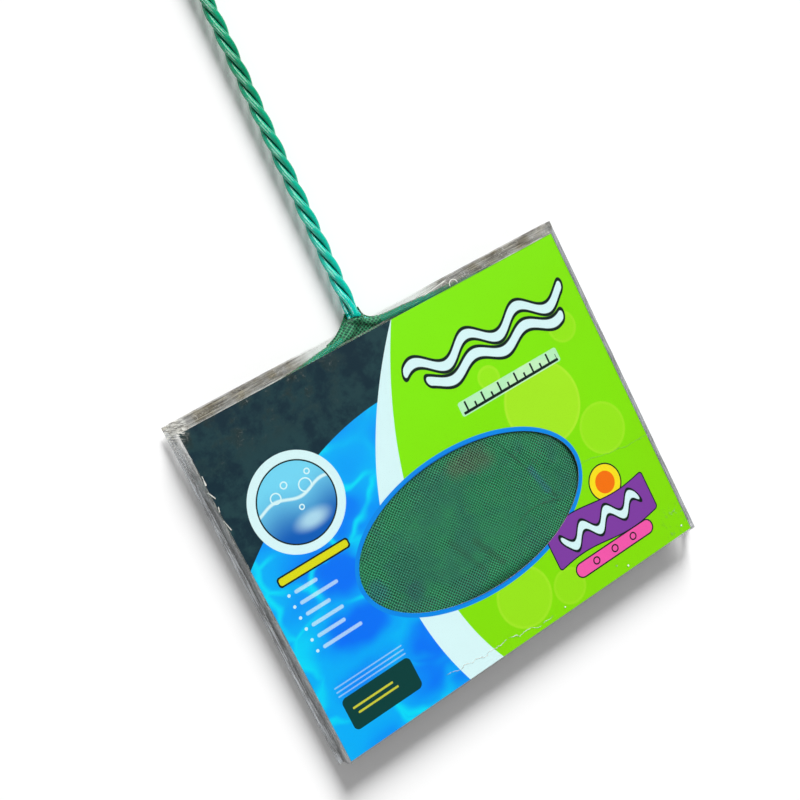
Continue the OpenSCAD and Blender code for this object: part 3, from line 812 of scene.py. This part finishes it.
def add_solid(name, points, faces, *rest):
    """A closed piece, whose faces are turned to look outwards."""
    points = np.asarray(points, float)
    spokes = points - points.mean(0)
    volume = sum(np.dot(spokes[face[0]], np.cross(spokes[face[k]], spokes[face[k + 1]]))
                 for face in faces for k in range(1, len(face) - 1))
    if volume < 0:
        faces = turned_over(faces)
    return add_piece(name, points, faces, *rest)


def turned_over(faces):
    return [tuple(reversed(face)) for face in faces]


def facing(faces, side):
    """Faces of a piece on the left, turned over for its mirror image on the right."""
    return turned_over(faces) if side > 0 else faces


def grid_faces(rows, columns, loop=False):
    """Quads over a lattice of points, row by row. A loop joins the last column to the first."""
    faces = []
    for row in range(rows - 1):
        for column in range(columns if loop else columns - 1):
            a = row * columns + column
            b = row * columns + (column + 1) % columns
            faces.append((a, b, b + columns, a + columns))
    return faces


def turned(points, angle):
    """Points of the net's own frame turned about the neck and set down in the pouch."""
    x, y, z = np.asarray(points, float).reshape(-1, 3).T
    return np.stack([neck[0] + x * math.cos(angle) - y * math.sin(angle),
                     neck[1] + x * math.sin(angle) + y * math.cos(angle),
                     wire_z + z], axis=1)


def in_hoop(points, side=1):
    """Points of the hoop's frame in the pouch. Side -1 mirrors them to the left."""
    return turned(np.asarray(points, float).reshape(-1, 3) * (side, 1, 1), hoop_turn)


def in_eye(points):
    """Points of the leaning handle's frame in the pouch."""
    return turned(points, handle_lean)


def in_handle(points):
    """The same for the twist, whose axis lies higher than the hoop."""
    return in_eye(np.asarray(points, float).reshape(-1, 3) + (0, 0, handle_rise))


def advance(at, step, share=1.0):
    """The station that lies a share of a step past the one given: (length,) or (radius, angle)."""
    x, y, way = at
    if len(step) == 1:
        return (x - share * step[0] * math.sin(way), y + share * step[0] * math.cos(way), way)
    turned_way = way + share * step[1]
    reach = math.copysign(step[0], step[1])
    return (x + reach * (math.cos(turned_way) - math.cos(way)),
            y + reach * (math.sin(turned_way) - math.sin(way)), turned_way)


def stations(at, route, spacing):
    """Stations along a route and the distance run at each."""
    found = [at]
    run = [0.0]
    for step in route:
        length = step[0] if len(step) == 1 else step[0] * abs(step[1])
        count = max(1, math.ceil(length / spacing))
        found += [advance(at, step, n / count) for n in range(1, count + 1)]
        run += [run[-1] + length / count * n for n in range(1, count + 1)]
        at = found[-1]
    return np.array(found), np.array(run)


def swept(places, outline):
    """Outline points set square to the route at each station: one outline, or one for each station."""
    outline = np.broadcast_to(outline, (len(places), *np.shape(outline)[-2:]))
    x, y, way = (places[:, k, None] for k in range(3))
    aside, up = outline[..., 0], outline[..., 1]
    return np.stack([x + aside * np.cos(way), y + aside * np.sin(way), up], axis=2)


def smooth_step(value, low, high):
    """Runs smoothly from 0, where the value is low, to 1, where it is high."""
    share = np.clip((value - low) / (high - low), 0, 1)
    return share * share * (3 - 2 * share)


def ripples(points, size, seed=0.0):
    """Soft noise from -1 to 1 at each point, whose swells are about size across."""
    return np.array([noise.noise(Vector((x / size + seed, y / size, z / size + seed)))
                     for x, y, z in np.asarray(points, float).reshape(-1, 3)])


def closed_tube(rings):
    """Points and faces of a tube with domed ends, from its rings of points."""
    rows, sides = rings.shape[:2]
    points = rings.reshape(-1, 3)
    faces = grid_faces(rows, sides, loop=True)
    caps = [list(range(sides))[::-1], list(range((rows - 1) * sides, rows * sides))]
    return points, faces + caps


wire_sides = 20
wire_round = np.array([[math.cos(2 * math.pi * k / wire_sides), math.sin(2 * math.pi * k / wire_sides)]
                       for k in range(wire_sides)]) * coat_d / 2

twist_rate = 2 * math.pi * turns / (handle_l - twist_ease)


def twist_at(y):
    """The angle that a strand has turned through at height y."""
    if y < twist_ease:
        return twist_rate * y * y / (2 * twist_ease)
    if y > handle_l - twist_ease:
        return 2 * math.pi * turns - twist_rate * (handle_l - y) ** 2 / (2 * twist_ease)
    return twist_rate * (y - twist_ease / 2)


def build_handle():
    """Three coated strands twisted round each other. The third lies on the two that part into the hoop."""
    for name, start_degrees, foot in (("return", 90, -tucked_end), ("left", 210, -neck_gap),
                                      ("right", -30, -neck_gap)):
        start = math.radians(start_degrees)
        rings = []
        for y in np.linspace(foot, handle_l, math.ceil((handle_l - foot) / 0.8) + 1):
            angle = start + twist_at(y)
            speed = strand_r * twist_rate * max(0, min(1, y / twist_ease, (handle_l - y) / twist_ease))
            out = Vector((math.cos(angle), 0, math.sin(angle)))
            ahead = Vector((-speed * math.sin(angle), 1, speed * math.cos(angle))).normalized()
            aside = ahead.cross(out)
            middle = Vector((0, y, -tuck_bend * min(y, 0) ** 2)) + strand_r * out
            dome = math.sqrt(max(0.05, 1 - (max(0, foot + coat_d / 2 - y) / (coat_d / 2)) ** 2))
            size = dome if name == "return" else 1
            rings.append([middle + (out * p[0] + aside * p[1]) * size for p in wire_round])
        points, faces = closed_tube(np.array([[tuple(p) for p in ring] for ring in rings]))
        add_solid(f"strand_{name}_coating", in_handle(points), faces, coating, "net", "wire_coating",
                  f"strand_{name}")


def build_eye():
    """Hanging eye: the wire's own bend, parted from the twist by two small bends."""
    spread = math.acos((foot_x + eye_bend_r) / (eye_r + eye_bend_r))
    route = [(eye_bend_r, -spread), (eye_r, math.pi + 2 * spread), (eye_bend_r, -spread)]
    places = stations((foot_x, handle_l, 0.0), route, 0.6)[0]
    points, faces = closed_tube(swept(places, wire_round))
    add_solid("hanging_eye_coating", in_eye(points), faces, coating, "net", "wire_coating", "hanging_eye")


def build_hoop():
    """Left and right half of the hoop, from the neck to the ferrule."""
    route = [neck_bend, *hoop_run, (corner_x - ferrule_half - ferrule_gap,)]
    places = stations(hoop_start, route, 1.2)[0]
    points, faces = closed_tube(swept(places, wire_round))
    for name, side in both_sides:
        add_solid(f"hoop_{name}_coating", in_hoop(points, side), faces, coating, "net", "wire_coating",
                  f"hoop_{name}")


# Net

hem_line_r = coat_d / 2 + hem_gap + ply_t / 2
hem_r = hem_line_r + ply_t / 2
tail_rise = ply_t + tail_gap
stitch_pitch = 3.2
stitch_in = 3.4


def hem_outline(run):
    """Section of the hem at a distance along it: round the wire, and pinched flat by each stitch."""
    lap = math.asin((tail_rise - hem_line_r) / hem_line_r)
    pinch = 0.5 + 0.5 * math.cos(2 * math.pi * run / stitch_pitch)
    loose = noise.noise(Vector((run / 7, 0.3, 0))) * 0.22 + noise.noise(Vector((run / 2.6, 4.1, 0))) * 0.1
    round_part = [(hem_line_r + 0.08 + max(0, loose)) * np.array([math.cos(a), math.sin(a)])
                  for a in np.linspace(lap + 0.25, 1.5 * math.pi, 16)]
    upper = []
    for share in np.linspace(1, 0, 7)[:-1]:
        aside = hem_line_r + 0.1 + share * (tail_w - hem_line_r - 0.1)
        dip = math.exp(-((aside - stitch_in) / 0.9) ** 2)
        lift = 0.34 * (1 - dip * pinch) * (1 - share) + 0.16 * loose
        upper.append(np.array([aside, tail_rise - hem_line_r + lift]))
    lower = [np.array([aside, -hem_line_r]) for aside in np.linspace(hem_line_r * 0.5, tail_w, 6)]
    return np.array([*upper, *round_part, *lower])


def build_hems():
    """Mesh turned over the wire and sewn to itself, left and right."""
    start = advance(hoop_start, neck_bend)
    places, run = stations(start, [*hoop_run, (corner_x,)], 0.8)
    sections = np.array([hem_outline(distance) for distance in run])
    points = swept(places, sections)
    faces = grid_faces(*sections.shape[:2])
    stitches = stitch_route(places, run)
    for name, side in both_sides:
        piece = add_piece(f"hem_{name}_mesh", in_hoop(points, side), facing(faces, side), hem_net,
                          "net", "hem_mesh", f"hem_{name}")
        sewing = add_thread(f"hem_{name}_stitching", [in_hoop(line, side) for line in stitches], 0.16)


def stitch_route(places, run):
    """Short lines of thread on the hem's upper ply, one for each stitch."""
    lines = []
    for first in np.arange(stitch_pitch, run[-1] - stitch_pitch, stitch_pitch):
        distances = np.linspace(first - 0.28 * stitch_pitch, first + 0.28 * stitch_pitch, 5)
        line = []
        for share, distance in zip(np.linspace(-1, 1, 5), distances):
            x, y, way = (np.interp(distance, run, places[:, k]) for k in range(3))
            up = tail_rise - hem_line_r + 0.12 - 0.2 * share * share + 0.16
            line.append((x + stitch_in * math.cos(way), y + stitch_in * math.sin(way), up))
        lines.append(line)
    return lines


def add_thread(name, lines, radius, corners=6):
    """One piece made of many short lengths of thread."""
    points, faces = [], []
    for line in lines:
        line = np.array(line)
        ahead = np.gradient(line, axis=0)
        ahead /= np.linalg.norm(ahead, axis=1)[:, None]
        aside = np.cross(ahead, (0, 0, 1))
        aside /= np.linalg.norm(aside, axis=1)[:, None] + 1e-9
        up = np.cross(aside, ahead)
        rings = np.array([[p + radius * (math.cos(a) * s + math.sin(a) * w)
                           for a in np.linspace(0, 2 * math.pi, corners, endpoint=False)]
                          for p, s, w in zip(line, aside, up)])
        first = sum(len(p) for p in points)
        tube, tube_faces = closed_tube(rings)
        points.append(tube)
        faces += [tuple(i + first for i in face) for face in tube_faces]
    return add_solid(name, np.concatenate(points), faces, thread, "net", "hem_mesh")


def build_loose_end():
    """End of the sewing thread that lies loose on the bag."""
    route = np.array([(19.5, -36.0), (20.5, -33.2), (26.5, -31.6), (33.0, -31.4), (39.0, -32.6),
                      (47.0, -35.4)])
    count = 40
    marks = np.linspace(0, 1, len(route))
    places = np.linspace(0, 1, count)
    line = np.c_[np.interp(places, marks, route[:, 0]), np.interp(places, marks, route[:, 1]),
                 np.full(count, bag_roof + wire_z + 0.2)]
    for axis in (0, 1):
        line[:, axis] = np.convolve(np.pad(line[:, axis], 3, mode="edge"), np.ones(7) / 7, mode="valid")
    add_thread("loose_thread_end", [line], 0.14)


def flat_mesh(outline, spacing):
    """Points and triangles over a flat outline, with points inside it about spacing apart."""
    border = spaced_outline(outline, spacing)
    low, high = border.min(0), border.max(0)
    inner = []
    for row, y in enumerate(np.arange(low[1] + spacing, high[1], spacing * 0.87)):
        shift = spacing / 2 if row % 2 else 0.0
        inner += [(x, y) for x in np.arange(low[0] + shift, high[0], spacing)]
    inner = np.array(inner)
    crossings = np.zeros(len(inner), int)
    nearest = np.full(len(inner), np.inf)
    for (x0, y0), (x1, y1) in zip(border, np.roll(border, -1, axis=0)):
        spans = (y0 > inner[:, 1]) != (y1 > inner[:, 1])
        at = x0 + (inner[:, 1] - y0) * (x1 - x0) / ((y1 - y0) if y1 != y0 else 1e-12)
        crossings += spans & (inner[:, 0] < at)
        nearest = np.minimum(nearest, np.hypot(inner[:, 0] - x0, inner[:, 1] - y0))
    inner = inner[(crossings % 2 == 1) & (nearest > 0.6 * spacing)]
    every = [Vector(p) for p in np.concatenate([border, inner])]
    edges = [(i, (i + 1) % len(border)) for i in range(len(border))]
    inside_only = 1
    found = delaunay_2d_cdt(every, edges, [], inside_only, 1e-5)
    return np.array([tuple(p) for p in found[0]]), found[2]


def spaced_outline(outline, spacing):
    """Points along a closed outline, about spacing apart."""
    outline = np.array(outline, float)
    points = []
    for a, b in zip(outline, np.roll(outline, -1, axis=0)):
        count = max(1, round(np.linalg.norm(b - a) / spacing))
        points += [a + (b - a) * n / count for n in range(count)]
    return np.array(points)


web_out = twist_r + hem_gap + ply_t


def neck_side(radius):
    """Outline of the gathered web right of its middle: a round bay above, and a straight lower edge."""
    slope = math.tan(roof_fall)
    rise = (radius + hem_r) / math.cos(roof_fall) - ridge_drop - web_climb
    total = web_out + rise * slope
    square = 1 + slope * slope
    rest = web_out ** 2 + rise ** 2 - radius ** 2
    bay_x = (total + math.sqrt(total ** 2 - square * rest)) / square
    bay_y = web_climb + rise - slope * bay_x
    bend_end = bend_x + 1.5
    end_x = max(bend_end, bay_x - radius * math.sin(roof_fall) - 0.5)
    first = math.atan2(web_climb - bay_y, web_out - bay_x)
    last = math.atan2(-math.sqrt(radius ** 2 - (end_x - bay_x) ** 2), end_x - bay_x)
    bay = [(bay_x + radius * math.cos(a), bay_y + radius * math.sin(a))
           for a in np.linspace(first % (2 * math.pi), last % (2 * math.pi), 14)]
    return [*bay, (end_x, -bend_y - (end_x - bend_x) * slope - 1), (bend_end, -bend_y - 3),
            (bend_x + 0.5, -ridge_drop - tail_w)]


def neck_outline():
    """Outline of the gathered web, with a wide bay on its left and a tight one on its right."""
    return [*neck_side(web_right_r), *[(-x, y) for x, y in reversed(neck_side(web_left_r))]]


def build_neck():
    """Mesh gathered round the root of the twist and the two bends, front and back."""
    outline = neck_outline()
    flat, faces = flat_mesh(outline, 0.7)
    x, y = flat.T
    loose = 0.1
    swell_r = hem_r + loose
    # Height of the mesh over the two bends of the wire
    part = np.arcsin(np.clip(-y / neck_r, 0, 1))
    wire_x = np.where(y > 0, foot_x, foot_x + neck_r * (1 - np.cos(part)))
    centre_x = foot_x + neck_r
    arc = np.abs(np.hypot(np.abs(x) - centre_x, y) - neck_r)
    arc = np.where((y > -bend_y - 1) & (np.abs(x) < centre_x), arc, 9.0)
    ridge = np.sqrt(np.clip(swell_r ** 2 - arc ** 2, 0, None))
    # Height of the sock that it makes round the twist
    sock = smooth_step(y, -9.0, 0.5)
    middle_z = handle_rise * sock
    reach = swell_r + (web_out - swell_r) * sock
    span = np.clip(np.abs(x) / np.maximum(reach, wire_x * (1 - sock) + 0.01), 0, 1)
    round_z = reach * np.sqrt(1 - span ** 2) * smooth_step(y, -12.0, -1.0)
    web_level = tail_rise - hem_line_r
    gather = np.sin(np.arctan2(x, y + 22) * 46 + ripples(np.c_[x, y, y * 0], 6) * 2.5)
    folds = 0.07 * gather * smooth_step(y, -16, -6)
    front = np.maximum(np.maximum(ridge, round_z + middle_z), web_level) + folds
    back = -np.maximum(np.maximum(ridge, round_z - middle_z), hem_line_r) + 0.5 * folds * (y > -6)
    # Front and back meet at the rim, apart from the open top
    rim = spaced_outline(outline, 0.6)
    edge = np.array([np.hypot(*(rim - point).T).min() for point in flat])
    rim_z = web_level + (handle_rise - web_level) * smooth_step(y, -4.0, 1.0)
    open_top = smooth_step(y, 0.2, 0.9) * (np.abs(x) < web_out)
    pull = np.maximum(smooth_step(edge, 0.0, 1.2) * 0.8 + 0.2, open_top)
    front = rim_z + (front - rim_z) * pull
    back = np.maximum(rim_z + (back - rim_z) * pull, handle_rise - web_out)
    front_top = -1.8 - 1.2 * np.exp(-((x - 1.0) / 1.6) ** 2)
    fall = smooth_step(y, -9.0, web_climb) * (np.abs(x) < web_out + 4)
    points = np.concatenate([np.c_[x, y + (front_top - web_climb) * fall, front], np.c_[x, y, back]])
    both = [*faces, *[tuple(i + len(flat) for i in face) for face in turned_over(faces)]]
    piece = add_piece("neck_mesh", in_hoop(points), both, neck_net, "net", "hem_mesh", "neck_web")


ply_step = ply_t + rest_gap
ply_low = film_t + rest_gap + ply_t / 2 - wire_z
ply_mid = ply_low + ply_step
ply_top = ply_mid + ply_step
bag_top = -ridge_drop - tail_w / math.cos(roof_fall) - rest_gap / 2
bag_low = hoop_bottom + tail_w + rest_gap / 2
bag_half = hoop_half - tail_w - gusset_w - rest_gap
bag_end = bag_low + bag_stop + seam_w
bag_fold = (bag_top + bag_low) / 2
fold_half = bag_half - bag_taper / 2
end_half = bag_half - bag_taper
fold_rise = 8
under_card = 0.45
crease_room = 0.55
bag_roof = card_low[2] - under_card - wire_z
puff = bag_roof - crease_room - ply_top


crease_lines = [(24, -76, 60, -118, 0.9, 1.6), (-52, -90, -12, -128, 0.5, 2.2),
                (-8, -84, 26, -100, 0.5, 2.6), (38, -116, 66, -96, 0.4, 1.4),
                (-70, -120, -30, -140, 0.6, 2.0)]


def bag_creases(x, y):
    """Height of the creases that the folded mesh has taken: long soft ones, and a few sharp ones. A sharp
    crease is its two ends, its height and its width."""
    points = np.c_[x, y, np.zeros(len(x))]
    height = sum(lift * ripples(points, size, seed)
                 for lift, size, seed in ((0.5, 34, 2.0), (0.22, 13, 5.0), (0.1, 5, 9.0)))
    for x0, y0, x1, y1, lift, width in crease_lines:
        run_x, run_y = x1 - x0, y1 - y0
        length = math.hypot(run_x, run_y)
        along = ((x - x0) * run_x + (y - y0) * run_y) / length
        aside = ((x - x0) * -run_y + (y - y0) * run_x) / length
        fade = smooth_step(along, 0, 8) * smooth_step(length - along, 0, 8)
        height += lift * np.exp(-np.abs(aside) / width) * fade
    return height


def build_bag():
    """Folded bag: front wall under, back wall over it and folded back, and the rolled bottom seam."""
    shoulder_y = bag_top - math.tan(roof_fall) * corner_x
    side_top = shoulder_y - (bag_half - corner_x)
    right = [(corner_x, shoulder_y), (bag_half, side_top), (end_half, bag_end)]
    outline = [(0, bag_top), *right, *[(-x, y) for x, y in reversed(right)]]
    flat, faces = flat_mesh(outline, 2.2)
    x, y = flat.T
    flat_end = bag_top - math.tan(roof_fall) * bag_half - rest_gap
    z = ply_top + (ply_low - ply_top) * smooth_step(flat_end - y, 0, rise_run)
    z += np.clip(0.35 * bag_creases(x + 40, y + 20), 0, 0.5)
    piece = add_piece("bag_front_mesh", in_hoop(np.c_[x, y, z]), faces, bag_net, "net", "bag_mesh",
                      "bag_front")
    build_back_wall()
    for name, side in both_sides:
        build_gusset(name, side, side_top)
    build_seam()


def build_back_wall():
    """Back wall: up from the bottom hem, over its fold and down again, sprung up under the card."""
    columns = 76
    bend = 1.4
    upper_creased = 0.9
    lower_creased = 0.4
    fold_y = bag_fold + fold_rise
    lower_z = ply_top + puff - 2 * bend
    shares = np.linspace(-1, 1, columns)
    # Each row: its place, half width and height, its share of the creases, and how far it is sprung up
    rows = []
    for y in np.arange(bag_low, fold_y - bend, 1.9):
        rise = smooth_step(y - bag_low, -6, 5)
        half = min(corner_x + (y - bag_low), bag_half) - bag_taper / 2 * (y - bag_low) / (fold_y - bag_low)
        rows.append((y, half, ply_top + puff * rise, upper_creased, rise))
    for angle in np.linspace(0, math.pi, 9):
        creased = upper_creased if angle < 1.5 else lower_creased
        rows.append((fold_y - bend + bend * math.sin(angle), fold_half,
                     lower_z + bend + bend * math.cos(angle), creased, 1.0))
    for y in np.arange(fold_y - bend - 2, bag_end, -2.2):
        share = (fold_y - y) / (fold_y - bag_end)
        drop = smooth_step(share, 0.0, 0.9)
        rows.append((y, fold_half + (end_half - fold_half) * share, lower_z + (ply_mid - lower_z) * drop,
                     lower_creased, 1 - drop))
    points = []
    for y, half, height, creased, loose in rows:
        x = shares * half
        level = np.full(columns, y)
        crown = 1 - 0.75 * smooth_step(np.abs(shares), 0.74, 1.0) * loose
        z = ply_mid + (height - ply_mid + bag_creases(x, level) * creased * loose) * crown
        points.append(np.c_[x, level, np.minimum(z, bag_roof)])
    piece = add_piece("bag_back_mesh", in_hoop(np.concatenate(points)), grid_faces(len(rows), columns),
                      bag_net, "net", "bag_mesh", "bag_back")


def build_gusset(name, side, side_top):
    """Side gusset: a ply from the side hem in to the bag's tapered side, folded back on itself."""
    bend = ply_step / 2
    side_end = corner_y - side_l
    rows = []
    for y in np.linspace(corner_y + gusset_over, side_end - gusset_over, 72):
        beyond = max(0, y - corner_y, side_end - y)
        hem_x = corner_x + math.sqrt((corner_r - tail_w) ** 2 - beyond ** 2) - rest_gap / 2
        taper = bag_taper * min(1, max(0, (side_top - y) / (side_top - bag_end)))
        fold_x = min(hoop_half - tail_w - gusset_w - gusset_lap - taper, hem_x - 2 * bend) + bend
        fold = [(fold_x - bend * math.sin(a), y, ply_mid + bend + bend * math.cos(a))
                for a in np.linspace(0, math.pi, 7)]
        rows.append([(hem_x, y, ply_top), *fold, (hem_x - rest_gap, y, ply_mid)])
    points = np.array(rows)
    faces = grid_faces(*points.shape[:2])
    piece = add_piece(f"bag_gusset_{name}_mesh", in_hoop(points, side), facing(faces, side), bag_net,
                      "net", "bag_mesh", f"bag_gusset_{name}")


def build_seam():
    """Bottom seam: the ends of both walls rolled together and sewn."""
    height = ply_step + ply_t
    middle_y = bag_end - seam_w / 2
    middle_z = ply_low - ply_t / 2 + height / 2
    rings = []
    for x in np.linspace(-end_half, end_half, 120):
        squeeze = 1 - 0.12 * (0.5 + 0.5 * math.cos(2 * math.pi * x / stitch_pitch))
        half = squeeze * height / 2
        rings.append([(x, middle_y + seam_w / 2 * math.cos(a), middle_z + half * math.sin(a))
                      for a in np.linspace(0, 2 * math.pi, 16, endpoint=False)])
    points, faces = closed_tube(np.array(rings))
    add_solid("bag_seam_roll", in_hoop(points), faces, hem_net, "net", "hem_mesh", "bag_seam")


# Pouch

def film_relief(x, y, front):
    """Height of the film's own crinkles: faint over the card, sharp in the margins round it."""
    points = np.c_[x, y, np.full(len(x), 0.0 if front else 30.0)]
    aside = np.abs(x - card_mid[0]) - card_size[0] / 2
    above = y - card_high[1]
    below = card_low[1] - y
    margin = smooth_step(np.maximum(np.maximum(aside, above), below), -5, 1)
    wide = ripples(points, 38, 1.0) * 0.12
    folds = (np.abs(ripples(points, 9, 3.0)) - 0.3) * 0.5 * margin
    fine = (np.abs(ripples(points * (1.0, 1.6, 1.0), 2.6, 7.0)) - 0.25) * 0.3 * margin
    return wide + folds + fine


def film_heights(x, flat_half, level, weld):
    """Height of a film across the pouch: level in its middle, and drawn out to the weld at each side."""
    share = np.clip((np.abs(x) - flat_half) / (weld_x - flat_half), 0, 1)
    return level + (weld - level) * share


def build_film():
    """The folded sheet of film: down the front, round the bottom fold and up the back."""
    mouth_y = front_high[1]
    low_y = front_low[1]
    depth = low_y - fold_low[1]
    margin = np.linspace(back_high[0], weld_x, 8)[1:]
    columns = np.concatenate([-margin[::-1], np.linspace(-back_high[0], back_high[0], 216), margin])
    top = film_heights(columns, front_high[0], front_low[2] + film_t / 2, weld_mid + film_t / 2)
    bottom = film_heights(columns, back_high[0], film_t / 2, weld_mid - film_t / 2)
    tame = smooth_step(weld_x - np.abs(columns), 0, 3)

    def film_row(y, heights, front, low, high):
        level = np.full(len(columns), y)
        relief = np.clip(film_relief(columns, level, front) * tame, low, high)
        return np.c_[columns, level, heights + relief]

    rows = [film_row(y, top, True, -0.2, 0.25) for y in np.linspace(mouth_y, low_y, 172)]
    half = (top - bottom) / 2
    for angle in np.linspace(0, math.pi, 13)[1:-1]:
        rows.append(np.c_[columns, low_y - depth * math.sin(angle) * np.minimum(1, half / 2),
                          bottom + half + half * math.cos(angle)])
    rows += [film_row(y, bottom, False, -0.05, 0.2) for y in np.linspace(low_y, mouth_y, 100)]
    add_piece("pouch_film", np.concatenate(rows), turned_over(grid_faces(len(rows), len(columns))), film,
              "pouch", "film", "pouch_front", "pouch_back", "pouch_fold")


def build_welds():
    """Welded side seams, pressed into fine ribs."""
    half_t = film_t * 0.9
    for name, side in both_sides:
        rings = []
        for y in np.linspace(front_low[1], front_high[1], 520):
            rib = 0.07 * math.sin(2 * math.pi * y / 1.3)
            section = [(0, half_t), (0.6, half_t + rib), (1.9, half_t + rib), (weld_w, 0.03),
                       (weld_w, -0.03), (1.9, rib - half_t), (0.6, rib - half_t), (0, -half_t)]
            rings.append([(side * (weld_x + aside), y, weld_mid + up) for aside, up in section])
        points, faces = closed_tube(np.array(rings))
        add_solid(f"pouch_weld_{name}", points, faces, weld_film, "pouch", "film", f"pouch_seam_{name}")


def finish_nodes():
    """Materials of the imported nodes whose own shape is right."""
    finishes = {"printed_card": print_finish, "hoop_ferrule": ferrule_steel, "eye_core": core_steel}
    for name in ("strand_core_left", "strand_core_right", "strand_core_return", "hoop_core_left",
                 "hoop_core_right"):
        finishes[name] = core_steel
    for name, finish in finishes.items():
        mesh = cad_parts[name].data
        mesh.materials.clear()
        mesh.materials.append(finish)


# Studio

def build_floor():
    """White floor, just under the pouch."""
    half = 4.0
    level = -0.00005
    mesh = bpy.data.meshes.new("floor")
    corners = [(-half, -half, level), (half, -half, level), (half, half, level), (-half, half, level)]
    mesh.from_pydata(corners, [], [(0, 1, 2, 3)])
    mesh.materials.append(floor_material())
    floor = bpy.data.objects.new("floor", mesh)
    bpy.context.scene.collection.objects.link(floor)
    return floor


def build_room():
    """Pale room with a dark patch overhead, which the film mirrors. The camera itself sees white."""
    world = bpy.data.worlds.new("studio")
    bpy.context.scene.world = world
    world.use_nodes = True
    tree = world.node_tree
    place = tree.nodes.new("ShaderNodeTexCoord")
    x, y, z = parts_of(tree, place.outputs["Generated"])
    overhead = x * 0.377 - y * 0.129 + z * 0.917
    room = mixed(tree, overhead.ramp(0.78, 0.93), (0.3, 0.3, 0.3, 1.0), (0.05, 0.05, 0.055, 1.0))
    seen = tree.nodes.new("ShaderNodeLightPath").outputs["Is Camera Ray"]
    tree.links.new(mixed(tree, seen, room, (1.0, 1.0, 1.0, 1.0)), tree.nodes["Background"].inputs["Color"])


def build_lamps(floor):
    """Two low lamps that light the floor and throw its shadows, a soft one overhead for the pack, and one
    for the glints. The second low lamp lets the handle's shadow through, as the photograph's is faint."""
    handle = [bpy.data.objects[f"{name}_coating"]
              for name in ("strand_left", "strand_right", "strand_return", "hanging_eye")]
    for name, strength, spread, spared in (("key", 3.1, 22, ()), ("key_beside", 3.1, 20, handle)):
        key = add_sun(name, (0.413, 0.827, 0.383), strength, spread)
        key.light_linking.receiver_collection = picked(f"{name}_receivers", "INCLUDE", floor)
        key.light_linking.blocker_collection = picked(f"{name}_blockers", "EXCLUDE", *spared)
    ceiling = add_sun("ceiling", (0.3, 0.5, 0.81), 3.3, 45)
    ceiling.light_linking.receiver_collection = picked("ceiling_receivers", "EXCLUDE", floor)
    glints = add_sun("glints", (-0.86, 0.1, 0.5), 2.2, 36)
    glints.visible_diffuse = False
    films = [bpy.data.objects[name] for name in ("pouch_film", "pouch_weld_left", "pouch_weld_right")]
    glints.light_linking.receiver_collection = picked("glints_receivers", "EXCLUDE", floor, *films)


def picked(name, state, *pieces):
    """The pieces that a lamp lights or that throw its shadow: only those given, or all but those."""
    chosen = bpy.data.collections.new(name)
    for piece in pieces:
        chosen.objects.link(piece)
    for entry in chosen.collection_objects:
        entry.light_linking.link_state = state
    return chosen


def add_sun(name, towards, strength, spread):
    """A distant soft lamp in the direction given, whose disc is spread degrees wide."""
    lamp = bpy.data.lights.new(name, "SUN")
    lamp.energy = strength
    lamp.angle = math.radians(spread)
    sun = bpy.data.objects.new(name, lamp)
    sun.rotation_euler = Vector(towards).to_track_quat("Z", "Y").to_euler()
    bpy.context.scene.collection.objects.link(sun)
    return sun


def build_camera():
    """The photograph's own view of the pack: from the left and above, and rolled."""
    camera = bpy.data.objects.new("camera", bpy.data.cameras.new("camera"))
    bpy.context.scene.collection.objects.link(camera)
    camera.data.sensor_width = 36
    camera.data.lens = 58.5
    target = Vector((-3.2, 44.7, 0)) * MM
    distance = 609.3 * MM
    bearing, height, roll = (math.radians(angle) for angle in (161.08, 66.53, 80.8))
    back = Vector((math.cos(height) * math.cos(bearing), math.cos(height) * math.sin(bearing),
                   math.sin(height)))
    level = (-back).cross(Vector((0, 0, 1))).normalized()
    upright = level.cross(-back)
    right = math.cos(roll) * level + math.sin(roll) * upright
    up = math.cos(roll) * upright - math.sin(roll) * level
    axes = Matrix((right, up, back)).transposed().to_4x4()
    camera.matrix_world = Matrix.Translation(target + back * distance) @ axes
    bpy.context.scene.camera = camera


build_camera()
build_handle()
build_eye()
build_hoop()
build_hems()
build_neck()
build_bag()
build_loose_end()
build_film()
build_welds()
finish_nodes()
floor = build_floor()
build_room()
build_lamps(floor)
bpy.context.scene.view_settings.view_transform = "Standard"
